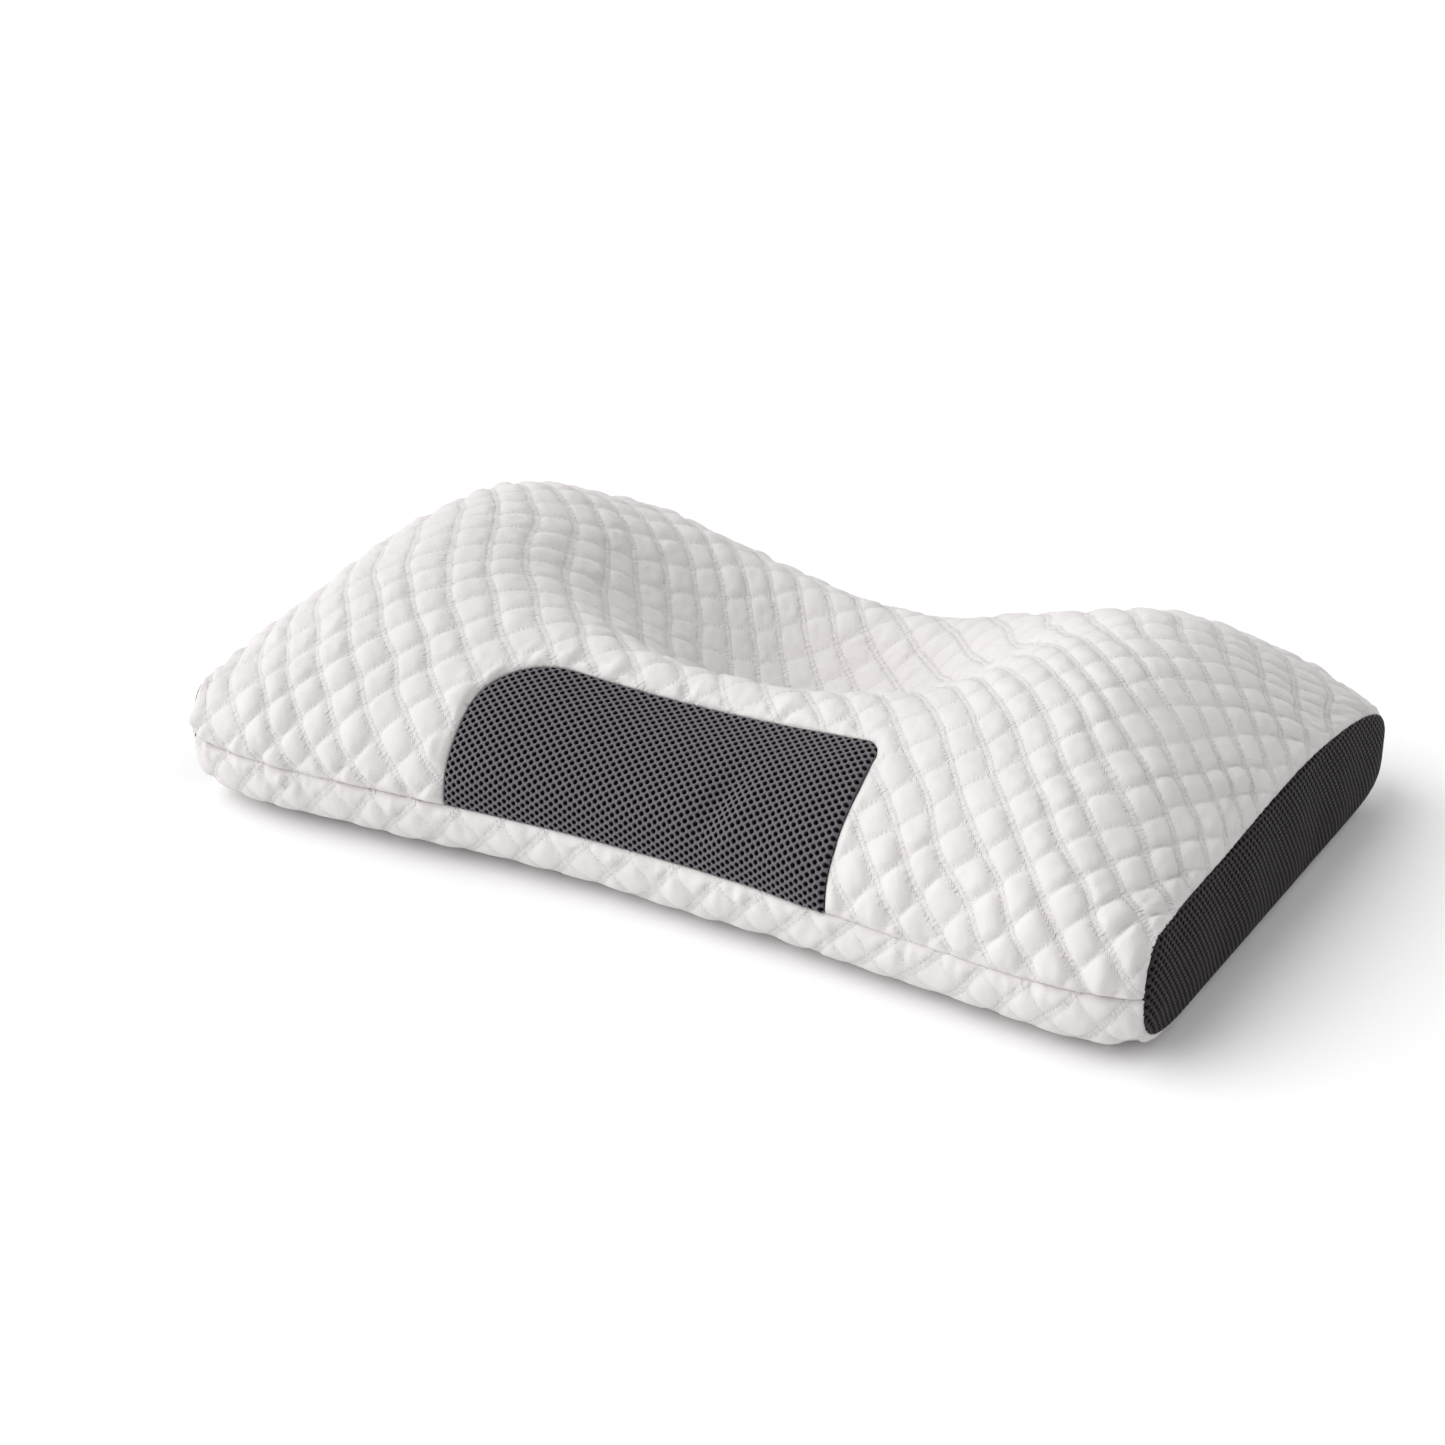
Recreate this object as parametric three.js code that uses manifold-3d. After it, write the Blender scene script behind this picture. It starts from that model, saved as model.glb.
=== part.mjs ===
// A contoured neck-traction pillow: a quilted two-panel cover with a black mesh panel over the
// neck roll and a black mesh gusset at each end, closed by a zip along the back edge. Inside it
// lies a thin inner case, split by four baffles into five chambers of fibre fill.
//
// Millimetres, +Z up. X runs along the long side, -Y is the neck side and +Y is the crown side.
// The origin is on the floor, in the middle of the pillow's underside.

import * as THREE from 'three';
import { mergeVertices } from 'three/addons/utils/BufferGeometryUtils.js';
import Module from 'manifold-3d';

const wasm = await Module();
wasm.setup();

// ---- Driving dimensions -------------------------------------------------------------------

// Outline seen from above
const WIDTH = 660;
const DEPTH = 424;
const FRONT_SWEEP = 22; // how far the middle of the neck side is drawn in
const CORNER_TUCK = 18; // how far the four corners are drawn in
const CORNER_POWER = 9; // how sharply that happens

// Cross-section
const SEAM_HEIGHT = 45; // front seam, and the widest line of the section all round
const TOP_ROUNDNESS = 2.6; // superellipse exponent of the upper half
const FRONT_ROUNDNESS = 3; // the same for the lower front and lower back edges
const BACK_ROUNDNESS = 4;
const EDGE_REACH = 70; // how far in the lower edges reach before the underside lies flat
const FLAT_HALF_WIDTH = 285; // the underside lifts off the floor beyond this
const END_LIFT = 7;

// Height above the seam, from the neck side (0) to the crown side (1)
const LOBE_PLACE = 0.67; // the side lobes' crests, as a share of half the width
const LOBE_HEIGHTS = [[0, 80], [0.15, 98], [0.3, 109], [0.42, 113], [0.6, 110], [0.75, 94], [1, 60]];
const CENTRE_HEIGHTS = [
  [0, 69], [0.15, 79], [0.22, 84], [0.3, 66], [0.38, 32], [0.47, 3],
  [0.56, -8], [0.64, 0], [0.8, 40], [0.9, 26], [1, 6],
];
const END_HEIGHTS = [[0, 76], [0.1, 49], [0.3, 40], [0.6, 43], [0.8, 41], [1, 38]];

// Layers, as distances in from the outer form
const GAP = 0.3;
const COVER_THICKNESS = 4;
const CASE_DEPTH = 4.7;
const CASE_THICKNESS = 1;
const FILL_DEPTH = CASE_DEPTH + CASE_THICKNESS + 0.4;

// Neck mesh panel, measured on a plane that leans back with the neck roll
const PANEL_HALF_WIDTH = 133;
const PANEL_HEIGHT = 104;
const PANEL_LEFT_RADIUS = 34;
const PANEL_RIGHT_RADIUS = 12;
const PANEL_LEAN = Math.atan2(0.8, 0.6); // tilt back from upright

// Chambers of the inner case
const SIDE_BAFFLE_X = 140;
const NECK_BAFFLE_Y = -62;
const CROWN_BAFFLE_Y = 118;
const BAFFLE_THICKNESS = 1;

// Gussets
const GUSSET_THICKNESS = 3;
const GUSSET_RECESS = 1.5; // how far the cover's edges stand past the gusset

// Zip
const ZIP_HEIGHT = 32;
const ZIP_HALF_LENGTH = 218; // the opening in the cover
const ZIP_OPENING = 10.4;
const TAPE_FACE_Y = 206;
const TAPE_THICKNESS = 0.8;
const TAPE_WIDTH = 8.7;
const COIL_WIDTH = 2.4;
const COIL_THICKNESS = 2.4;
const COIL_SPLIT = 0.8; // each coil's distance from the zip's centre line
const COIL_START_X = -188;
const COIL_END_X = 212;
const STOP_LENGTH = 3;
const CHANNEL_FLOOR_Y = 203; // the room kept behind the zip

// Slider, at the closed end
const SLIDER_X = 204;
const SLIDER_LENGTH = 12;
const JOIN = 0.2; // joined parts of the slider reach this far into each other
const SLIDER_WIDTH = 8.8;
const SLIDER_TAIL_WIDTH = 7.6;
const FRONT_PLATE = [209.2, 210.6]; // from and to, along Y
const BACK_PLATE = [203.6, 204.8];
const DIVIDER_THICKNESS = 0.9;
const LIP_THICKNESS = 0.7;
const BRIDGE_WIDTH = 2.4;
const BRIDGE_HALF_LENGTH = 4.4;
const BRIDGE_HEIGHT = 4.8;
const BRIDGE_WALL = 1;
const PULL_AXIS_Y = 212.9; // clear of the cover when the pull lies along it
const PULL_LENGTH = 26;
const PULL_WIDTH = 7;
const PULL_THICKNESS = 1.4;
const PULL_BAR = 1.5;
const PULL_EYE_LENGTH = 5;
const PULL_EYE_WIDTH = 3.6;

// Mesh fineness
const TOP_STEPS = 18;
const FRONT_EDGE_STEPS = 4;
const BACK_EDGE_STEPS = 6;
const WIDTH_STEPS = 20;
const EVEN_HALF_WIDTH = 300; // sections are evenly spaced this far, then closer
const END_STATIONS = [314, 324, WIDTH / 2];

// ---- Outer form ---------------------------------------------------------------------------

// A smooth curve through points of rising first value, with no overshoot between them
function smoothThrough(points) {
  const last = points.length - 1;
  const rise = (i) => (points[i + 1][1] - points[i][1]) / (points[i + 1][0] - points[i][0]);
  const slopes = points.map((point, i) => {
    if (i === 0) return rise(0);
    if (i === last) return rise(last - 1);
    const product = rise(i - 1) * rise(i);
    return product > 0 ? (2 * product) / (rise(i - 1) + rise(i)) : 0;
  });
  return (u) => {
    let i = 0;
    while (i < last - 1 && u > points[i + 1][0]) i += 1;
    const step = points[i + 1][0] - points[i][0];
    const t = (u - points[i][0]) / step;
    const start = points[i][1] * (1 + 2 * t) + slopes[i] * step * t;
    const end = points[i + 1][1] * (3 - 2 * t) - slopes[i + 1] * step * (1 - t);
    return start * (1 - t) ** 2 + end * t ** 2;
  };
}

const lobeHeight = smoothThrough(LOBE_HEIGHTS);
const centreHeight = smoothThrough(CENTRE_HEIGHTS);
const endHeight = smoothThrough(END_HEIGHTS);

function heightAboveSeam(x, across) {
  const share = Math.abs((2 * x) / WIDTH);
  const lobe = lobeHeight(across);
  if (share < LOBE_PLACE) {
    const centre = centreHeight(across);
    return centre + (lobe - centre) * THREE.MathUtils.smoothstep(share, 0, LOBE_PLACE);
  }
  const beyond = (share - LOBE_PLACE) / (1 - LOBE_PLACE);
  const end = endHeight(across);
  return end + (lobe - end) * (1 - beyond ** 2);
}

function frontEdge(x) {
  const share = Math.abs((2 * x) / WIDTH);
  return -DEPTH / 2 + FRONT_SWEEP * (1 - share ** 2) ** 2 + CORNER_TUCK * share ** CORNER_POWER;
}

function backEdge(x) {
  return DEPTH / 2 - CORNER_TUCK * Math.abs((2 * x) / WIDTH) ** CORNER_POWER;
}

function floorHeight(x) {
  const beyond = Math.max(0, Math.abs(x) - FLAT_HALF_WIDTH) / (WIDTH / 2 - FLAT_HALF_WIDTH);
  return END_LIFT * beyond ** 2;
}

function topPoint(x, turn) {
  const front = frontEdge(x);
  const back = backEdge(x);
  const cos = Math.cos(Math.PI * turn);
  const sin = Math.max(0, Math.sin(Math.PI * turn));
  const reach = Math.sign(cos) * Math.abs(cos) ** (2 / TOP_ROUNDNESS);
  const y = (front + back) / 2 - ((back - front) / 2) * reach;
  const across = THREE.MathUtils.clamp((y - front) / (back - front), 0, 1);
  return [y, SEAM_HEIGHT + heightAboveSeam(x, across) * sin ** (2 / TOP_ROUNDNESS)];
}

// The rounded edge below the seam, from the seam (turn 0) to the flat underside (turn 1)
function lowerEdgePoint(x, turn, edge, inward, roundness) {
  const floor = floorHeight(x);
  const cos = Math.max(0, Math.cos((Math.PI / 2) * turn));
  const sin = Math.sin((Math.PI / 2) * turn);
  const y = edge + inward * EDGE_REACH * (1 - cos ** (2 / roundness));
  return [y, floor + (SEAM_HEIGHT - floor) * (1 - sin ** (2 / roundness))];
}

// One closed section at x: over the top from front to back, then under to the front
function outline(x) {
  const points = [];
  for (let i = 0; i <= TOP_STEPS; i += 1) points.push(topPoint(x, i / TOP_STEPS));
  for (let i = 1; i <= BACK_EDGE_STEPS; i += 1) {
    points.push(lowerEdgePoint(x, i / BACK_EDGE_STEPS, backEdge(x), -1, BACK_ROUNDNESS));
  }
  points.push([0, floorHeight(x)]);
  for (let i = FRONT_EDGE_STEPS; i >= 1; i -= 1) {
    points.push(lowerEdgePoint(x, i / FRONT_EDGE_STEPS, frontEdge(x), 1, FRONT_ROUNDNESS));
  }
  return points;
}

// The same section moved in by a distance, square to the outline, placed at `at`
function section(x, inset, at = x) {
  const limit = THREE.MathUtils.clamp(x, -WIDTH / 2, WIDTH / 2);
  const points = outline(limit);
  return points.map(([y, z], i) => {
    const before = points[(i + points.length - 1) % points.length];
    const after = points[(i + 1) % points.length];
    const along = new THREE.Vector2(after[0] - before[0], after[1] - before[1]).normalize();
    return new THREE.Vector3(at, y + along.y * inset, z - along.x * inset);
  });
}

// ---- Solids -------------------------------------------------------------------------------

function solidOf(geometry) {
  const bare = geometry.clone();
  bare.deleteAttribute('normal');
  bare.deleteAttribute('uv');
  const merged = mergeVertices(bare);
  return new wasm.Manifold(new wasm.Mesh({
    numProp: 3,
    vertProperties: new Float32Array(merged.attributes.position.array),
    triVerts: new Uint32Array(merged.index.array),
  }));
}

function geometryOf(solid) {
  const mesh = solid.getMesh();
  const geometry = new THREE.BufferGeometry();
  geometry.setAttribute('position', new THREE.BufferAttribute(mesh.vertProperties, 3));
  geometry.setIndex(new THREE.BufferAttribute(mesh.triVerts, 1));
  geometry.computeVertexNormals();
  return geometry;
}

// A closed solid through rings of points, with a fan over each end
function ringSolid(rings) {
  const size = rings[0].length;
  const middle = (ring) => ring.reduce((sum, p) => sum.add(p), new THREE.Vector3())
    .divideScalar(size);
  const points = [...rings.flat(), middle(rings[0]), middle(rings[rings.length - 1])];
  const start = points.length - 2;
  const faces = [];
  for (let i = 0; i < size; i += 1) {
    const next = (i + 1) % size;
    for (let j = 0; j + 1 < rings.length; j += 1) {
      const row = j * size;
      faces.push(row + i, row + size + next, row + next);
      faces.push(row + i, row + size + i, row + size + next);
    }
    const row = (rings.length - 1) * size;
    faces.push(start, i, next);
    faces.push(start + 1, row + next, row + i);
  }
  const geometry = new THREE.BufferGeometry().setFromPoints(points);
  geometry.setIndex(faces);
  return solidOf(geometry);
}

function stations(halfLength) {
  const places = [];
  for (let i = 0; i <= WIDTH_STEPS / 2; i += 1) {
    places.push((2 * EVEN_HALF_WIDTH * i) / WIDTH_STEPS);
  }
  places.push(...END_STATIONS);
  const kept = [...places.filter((x) => x < halfLength), halfLength];
  return [...kept.slice(1).reverse().map((x) => -x), ...kept];
}

function pillowForm(inset, halfLength = WIDTH / 2) {
  return ringSolid(stations(halfLength).map((x) => section(x, inset, x)));
}

function block([x0, x1], [y0, y1], [z0, z1]) {
  const geometry = new THREE.BoxGeometry(x1 - x0, y1 - y0, z1 - z0);
  geometry.translate((x0 + x1) / 2, (y0 + y1) / 2, (z0 + z1) / 2);
  return solidOf(geometry);
}

const FAR = 400; // past the pillow on every side
const wholeWidth = [-FAR, FAR];

// ---- Cover --------------------------------------------------------------------------------

// The head hollow dips below the seam line but stays well above the underside
const hollowRoom = block([-150, 150], [-100, 120], [20, FAR]);

// Everything above the seam line, which runs lower along the back, where the zip is
function aboveSeam(clearance) {
  const front = block(wholeWidth, [-FAR, 1], [SEAM_HEIGHT + clearance, FAR]);
  const back = block(wholeWidth, [0, FAR], [ZIP_HEIGHT + clearance, FAR]);
  return front.add(back).add(hollowRoom);
}

function zipOpening() {
  const z = [ZIP_HEIGHT - ZIP_OPENING / 2, ZIP_HEIGHT + ZIP_OPENING / 2];
  return block([-ZIP_HALF_LENGTH, ZIP_HALF_LENGTH], [DEPTH / 4, FAR], z);
}

// A prism through the neck roll with the mesh panel's outline, grown by `extra`
function neckPanelPrism(extra) {
  const side = PANEL_HALF_WIDTH + extra;
  const top = PANEL_HEIGHT + extra;
  const below = -30; // past the front seam
  const left = PANEL_LEFT_RADIUS;
  const right = PANEL_RIGHT_RADIUS;
  const shape = new THREE.Shape();
  shape.moveTo(-side, below);
  shape.lineTo(side, below);
  shape.lineTo(side, top - right);
  shape.absarc(side - right, top - right, right, 0, Math.PI / 2, false);
  shape.lineTo(-side + left, top);
  shape.absarc(-side + left, top - left, left, Math.PI / 2, Math.PI, false);
  const before = 60; // reach in front of and behind the panel's plane
  const behind = 20;
  const geometry = new THREE.ExtrudeGeometry(shape, {
    depth: before + behind, bevelEnabled: false, curveSegments: 5,
  });
  geometry.translate(0, 0, -behind);
  geometry.rotateX(Math.PI / 2 - PANEL_LEAN);
  geometry.translate(0, frontEdge(PANEL_HALF_WIDTH), SEAM_HEIGHT);
  return solidOf(geometry);
}

const coverTube = pillowForm(0).subtract(pillowForm(COVER_THICKNESS, WIDTH / 2 + 2));
const upperTube = coverTube.intersect(aboveSeam(GAP / 2)).subtract(zipOpening());

function topCoverPanel() {
  return upperTube.subtract(neckPanelPrism(GAP / 2));
}

function neckMeshPanel() {
  return upperTube.intersect(neckPanelPrism(-GAP / 2));
}

function bottomCoverPanel() {
  return coverTube.subtract(aboveSeam(-GAP / 2)).subtract(zipOpening());
}

function meshGusset(side) {
  const outer = side * (WIDTH / 2 - GUSSET_RECESS);
  const inner = outer - side * GUSSET_THICKNESS;
  const inset = COVER_THICKNESS + 0.5;
  const ends = [inner, outer].sort((a, b) => a - b);
  return ringSolid(ends.map((at) => section(side * (WIDTH / 2), inset, at)));
}

// ---- Inner case, baffles and fill ---------------------------------------------------------

// The room behind the zip, which the inner case and its fill keep clear of
function zipChannel(depth) {
  const halfLength = ZIP_HALF_LENGTH + 8 + depth;
  const halfHeight = TAPE_WIDTH + COIL_SPLIT + 1 + depth;
  return block(
    [-halfLength, halfLength],
    [CHANNEL_FLOOR_Y - depth, FAR],
    [ZIP_HEIGHT - halfHeight, ZIP_HEIGHT + halfHeight],
  );
}

const CASE_HALF_LENGTH = 324;
const FILL_STEP_IN = FILL_DEPTH - CASE_DEPTH;
const caseOuter = pillowForm(CASE_DEPTH, CASE_HALF_LENGTH).subtract(zipChannel(0));
const caseInner = pillowForm(CASE_DEPTH + CASE_THICKNESS, CASE_HALF_LENGTH - CASE_THICKNESS)
  .subtract(zipChannel(CASE_THICKNESS));
const fillForm = pillowForm(FILL_DEPTH, CASE_HALF_LENGTH - FILL_STEP_IN)
  .subtract(zipChannel(FILL_STEP_IN));
const caseWall = caseOuter.subtract(caseInner);

function aboveCaseSeam(clearance) {
  return block(wholeWidth, wholeWidth, [SEAM_HEIGHT + clearance, FAR]).add(hollowRoom);
}

function innerCaseTop() {
  return caseWall.intersect(aboveCaseSeam(GAP / 2));
}

function innerCaseBottom() {
  return caseWall.subtract(aboveCaseSeam(-GAP / 2));
}

function fillBetween(x, y) {
  return fillForm.intersect(block(x, y, wholeWidth));
}

const halfBaffle = BAFFLE_THICKNESS / 2;
const clearOfBaffle = halfBaffle + GAP;
const middleWidth = [-SIDE_BAFFLE_X + clearOfBaffle, SIDE_BAFFLE_X - clearOfBaffle];

function sideBaffle(side) {
  const x = side * SIDE_BAFFLE_X;
  return fillBetween([x - halfBaffle, x + halfBaffle], wholeWidth);
}

function crossBaffle(y) {
  return fillBetween(middleWidth, [y - halfBaffle, y + halfBaffle]);
}

function sideFill(side) {
  const ends = [side * (SIDE_BAFFLE_X + clearOfBaffle), side * FAR].sort((a, b) => a - b);
  return fillBetween(ends, wholeWidth);
}

function neckRollFill() {
  return fillBetween(middleWidth, [-FAR, NECK_BAFFLE_Y - clearOfBaffle]);
}

function headHollowFill() {
  return fillBetween(middleWidth, [NECK_BAFFLE_Y + clearOfBaffle, CROWN_BAFFLE_Y - clearOfBaffle]);
}

function crownRollFill() {
  return fillBetween(middleWidth, [CROWN_BAFFLE_Y + clearOfBaffle, FAR]);
}

// ---- Zip ----------------------------------------------------------------------------------

// A range along Z that starts `near` from the zip's centre line, above (+1) or below (-1) it
function zipRange(side, near, width) {
  const ends = [ZIP_HEIGHT + side * near, ZIP_HEIGHT + side * (near + width)];
  return ends.sort((a, b) => a - b);
}

function zipTape(side) {
  const halfLength = ZIP_HALF_LENGTH + 4;
  const y = [TAPE_FACE_Y - TAPE_THICKNESS, TAPE_FACE_Y];
  return block([-halfLength, halfLength], y, zipRange(side, COIL_SPLIT, TAPE_WIDTH));
}

const coilDepth = [TAPE_FACE_Y + GAP, TAPE_FACE_Y + GAP + COIL_THICKNESS];

function zipCoil(side) {
  return block([COIL_START_X, COIL_END_X], coilDepth, zipRange(side, COIL_SPLIT, COIL_WIDTH));
}

function topStop(side) {
  const x = [COIL_END_X + GAP, COIL_END_X + GAP + STOP_LENGTH];
  return block(x, coilDepth, zipRange(side, COIL_SPLIT, COIL_WIDTH));
}

function bottomStop() {
  const x = [COIL_START_X - GAP - STOP_LENGTH, COIL_START_X - GAP];
  const halfHeight = COIL_SPLIT + COIL_WIDTH;
  return block(x, coilDepth, [ZIP_HEIGHT - halfHeight, ZIP_HEIGHT + halfHeight]);
}

// A flat piece drawn in X and Z about the zip's centre line and given a thickness along Y
function plate(shape, [y0, y1]) {
  const geometry = new THREE.ExtrudeGeometry(shape, {
    depth: y1 - y0, bevelEnabled: false, curveSegments: 6,
  });
  geometry.rotateX(Math.PI / 2);
  geometry.translate(SLIDER_X, y1, ZIP_HEIGHT);
  return solidOf(geometry);
}

// The slider's plate, wide where the coils come in (+X) and narrow where they leave joined
function sliderOutline() {
  const nose = SLIDER_LENGTH / 2;
  const corner = 1.6;
  const shoulder = SLIDER_WIDTH / 2;
  const tail = SLIDER_TAIL_WIDTH / 2;
  const shape = new THREE.Shape();
  shape.moveTo(-nose, -tail);
  shape.lineTo(0, -tail);
  shape.lineTo(nose / 3, -shoulder);
  shape.lineTo(nose - corner, -shoulder);
  shape.absarc(nose - corner, -shoulder + corner, corner, -Math.PI / 2, 0, false);
  shape.absarc(nose - corner, shoulder - corner, corner, 0, Math.PI / 2, false);
  shape.lineTo(nose / 3, shoulder);
  shape.lineTo(0, tail);
  shape.lineTo(-nose, tail);
  return shape;
}

// The arch on the slider that the pull's bar turns under
function sliderBridge() {
  const low = FRONT_PLATE[1] - JOIN;
  const archway = (halfLength, height) => {
    const round = height / 2;
    const shape = new THREE.Shape();
    shape.moveTo(-halfLength, 0);
    shape.lineTo(halfLength, 0);
    shape.lineTo(halfLength, height - round);
    shape.absarc(halfLength - round, height - round, round, 0, Math.PI / 2, false);
    shape.absarc(-halfLength + round, height - round, round, Math.PI / 2, Math.PI, false);
    return shape;
  };
  const solid = (shape, width) => {
    const geometry = new THREE.ExtrudeGeometry(shape, {
      depth: width, bevelEnabled: false, curveSegments: 5,
    });
    geometry.translate(SLIDER_X, low, ZIP_HEIGHT - width / 2);
    return solidOf(geometry);
  };
  const height = BRIDGE_HEIGHT + JOIN;
  const outer = solid(archway(BRIDGE_HALF_LENGTH, height), BRIDGE_WIDTH);
  const gap = archway(BRIDGE_HALF_LENGTH - BRIDGE_WALL, height - BRIDGE_WALL);
  return outer.subtract(solid(gap, BRIDGE_WIDTH + 2));
}

function sliderBody() {
  const nose = SLIDER_X + SLIDER_LENGTH / 2;
  const between = [BACK_PLATE[1] - JOIN, FRONT_PLATE[0] + JOIN];
  const halfDivider = DIVIDER_THICKNESS / 2;
  const divider = block(
    [nose - 4.5, nose - 0.5],
    between,
    [ZIP_HEIGHT - halfDivider, ZIP_HEIGHT + halfDivider],
  );
  const lipDepth = [TAPE_FACE_Y + 1, FRONT_PLATE[0] + JOIN];
  const lipStart = SLIDER_WIDTH / 2 - LIP_THICKNESS;
  const lip = (side) => block(
    [SLIDER_X + SLIDER_LENGTH / 6, nose - 1.6],
    lipDepth,
    zipRange(side, lipStart, LIP_THICKNESS),
  );
  return plate(sliderOutline(), FRONT_PLATE)
    .add(plate(sliderOutline(), BACK_PLATE))
    .add(divider)
    .add(lip(1))
    .add(lip(-1))
    .add(sliderBridge());
}

// The pull: a flat tab with an eye whose end bar sits under the slider's bridge
function pullTab() {
  const start = PULL_BAR / 2;
  const end = start - PULL_LENGTH;
  const half = PULL_WIDTH / 2;
  const eyeHalf = PULL_EYE_WIDTH / 2;
  const shape = new THREE.Shape();
  shape.moveTo(start, -half);
  shape.lineTo(start, half);
  shape.lineTo(end + half, half);
  shape.absarc(end + half, 0, half, Math.PI / 2, (3 * Math.PI) / 2, false);
  const eye = new THREE.Path();
  eye.moveTo(-PULL_BAR / 2, -eyeHalf);
  eye.lineTo(-PULL_BAR / 2, eyeHalf);
  eye.lineTo(-PULL_BAR / 2 - PULL_EYE_LENGTH, eyeHalf);
  eye.lineTo(-PULL_BAR / 2 - PULL_EYE_LENGTH, -eyeHalf);
  shape.holes.push(eye);
  const halfThickness = PULL_THICKNESS / 2;
  return plate(shape, [PULL_AXIS_Y - halfThickness, PULL_AXIS_Y + halfThickness]);
}

// ---- Materials ----------------------------------------------------------------------------

function material(color, roughness, metalness = 0) {
  return new THREE.MeshStandardMaterial({ color, roughness, metalness });
}

const quiltedWhite = material(0xe2dfdf, 0.85);
const blackMesh = material(0x4a454b, 0.8);
const caseCloth = material(0xe9e7e3, 0.9);
const fibre = material(0xf2f1ee, 1);
const tapeWhite = material(0xdcd8d6, 0.85);
const coilNylon = material(0xe4e1de, 0.45);
const zipMetal = material(0xb4b6ba, 0.3, 1);

// ---- Assembly -----------------------------------------------------------------------------

const pillow = new THREE.Group();
pillow.name = 'neck_traction_pillow';

function addPiece(parent, name, solid, look) {
  const mesh = new THREE.Mesh(geometryOf(solid), look);
  mesh.name = name;
  parent.add(mesh);
}

const cover = new THREE.Group();
addPiece(cover, 'top_cover_panel', topCoverPanel(), quiltedWhite);
addPiece(cover, 'bottom_cover_panel', bottomCoverPanel(), quiltedWhite);
addPiece(cover, 'neck_mesh_panel', neckMeshPanel(), blackMesh);
addPiece(cover, 'left_mesh_gusset', meshGusset(-1), blackMesh);
addPiece(cover, 'right_mesh_gusset', meshGusset(1), blackMesh);

const core = new THREE.Group();
addPiece(core, 'inner_case_top', innerCaseTop(), caseCloth);
addPiece(core, 'inner_case_bottom', innerCaseBottom(), caseCloth);
addPiece(core, 'left_baffle', sideBaffle(-1), caseCloth);
addPiece(core, 'right_baffle', sideBaffle(1), caseCloth);
addPiece(core, 'neck_baffle', crossBaffle(NECK_BAFFLE_Y), caseCloth);
addPiece(core, 'crown_baffle', crossBaffle(CROWN_BAFFLE_Y), caseCloth);
addPiece(core, 'left_side_fill', sideFill(-1), fibre);
addPiece(core, 'right_side_fill', sideFill(1), fibre);
addPiece(core, 'neck_roll_fill', neckRollFill(), fibre);
addPiece(core, 'head_hollow_fill', headHollowFill(), fibre);
addPiece(core, 'crown_roll_fill', crownRollFill(), fibre);

const zip = new THREE.Group();
addPiece(zip, 'zip_upper_tape', zipTape(1), tapeWhite);
addPiece(zip, 'zip_lower_tape', zipTape(-1), tapeWhite);
addPiece(zip, 'zip_upper_coil', zipCoil(1), coilNylon);
addPiece(zip, 'zip_lower_coil', zipCoil(-1), coilNylon);
addPiece(zip, 'zip_upper_top_stop', topStop(1), zipMetal);
addPiece(zip, 'zip_lower_top_stop', topStop(-1), zipMetal);
addPiece(zip, 'zip_bottom_stop', bottomStop(), zipMetal);

const slider = new THREE.Group();
addPiece(slider, 'zip_slider_body', sliderBody(), zipMetal);
addPiece(slider, 'zip_pull_tab', pullTab(), zipMetal);
zip.add(slider);

pillow.add(cover, core, zip);

export default pillow;
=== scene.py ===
"""The looks of a contoured neck-traction pillow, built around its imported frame.

Shapes are worked out in millimetres, on the same form as the CAD model, and turned into metres
when a mesh is made. Cloth is laid out by fabric coordinates: u runs along the pillow's long side
and s runs from the front seam across it, both in true length over the form.
"""

import math
from functools import partialmethod

import bmesh
import bpy
import numpy as np
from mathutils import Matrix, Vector


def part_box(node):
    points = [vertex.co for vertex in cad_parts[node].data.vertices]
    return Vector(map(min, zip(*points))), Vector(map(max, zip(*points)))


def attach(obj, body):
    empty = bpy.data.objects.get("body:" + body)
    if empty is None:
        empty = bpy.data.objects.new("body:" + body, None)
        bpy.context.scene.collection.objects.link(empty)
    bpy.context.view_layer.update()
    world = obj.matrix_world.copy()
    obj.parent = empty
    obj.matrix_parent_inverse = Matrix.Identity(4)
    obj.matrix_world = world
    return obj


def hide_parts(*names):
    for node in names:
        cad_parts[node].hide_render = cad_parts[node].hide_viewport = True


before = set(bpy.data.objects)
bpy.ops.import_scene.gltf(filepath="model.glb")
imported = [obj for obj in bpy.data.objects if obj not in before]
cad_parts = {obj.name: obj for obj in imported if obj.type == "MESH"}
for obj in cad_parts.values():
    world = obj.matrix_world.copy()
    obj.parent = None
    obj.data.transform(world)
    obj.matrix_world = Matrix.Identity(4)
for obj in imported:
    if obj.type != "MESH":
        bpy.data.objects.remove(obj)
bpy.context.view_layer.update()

# ---- Sizes, millimetres ----

METRES = 0.001


def cad_corners(node):
    """A CAD node's lowest and highest corners, in millimetres."""
    return [np.array(corner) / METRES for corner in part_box(node)]


SEAM_GAP = 0.3
HALF_WIDTH = cad_corners("top_cover_panel")[1][0]
DEPTH = 2 * cad_corners("top_cover_panel")[1][1]
SEAM_HEIGHT = cad_corners("bottom_cover_panel")[1][2] + SEAM_GAP / 2

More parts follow.
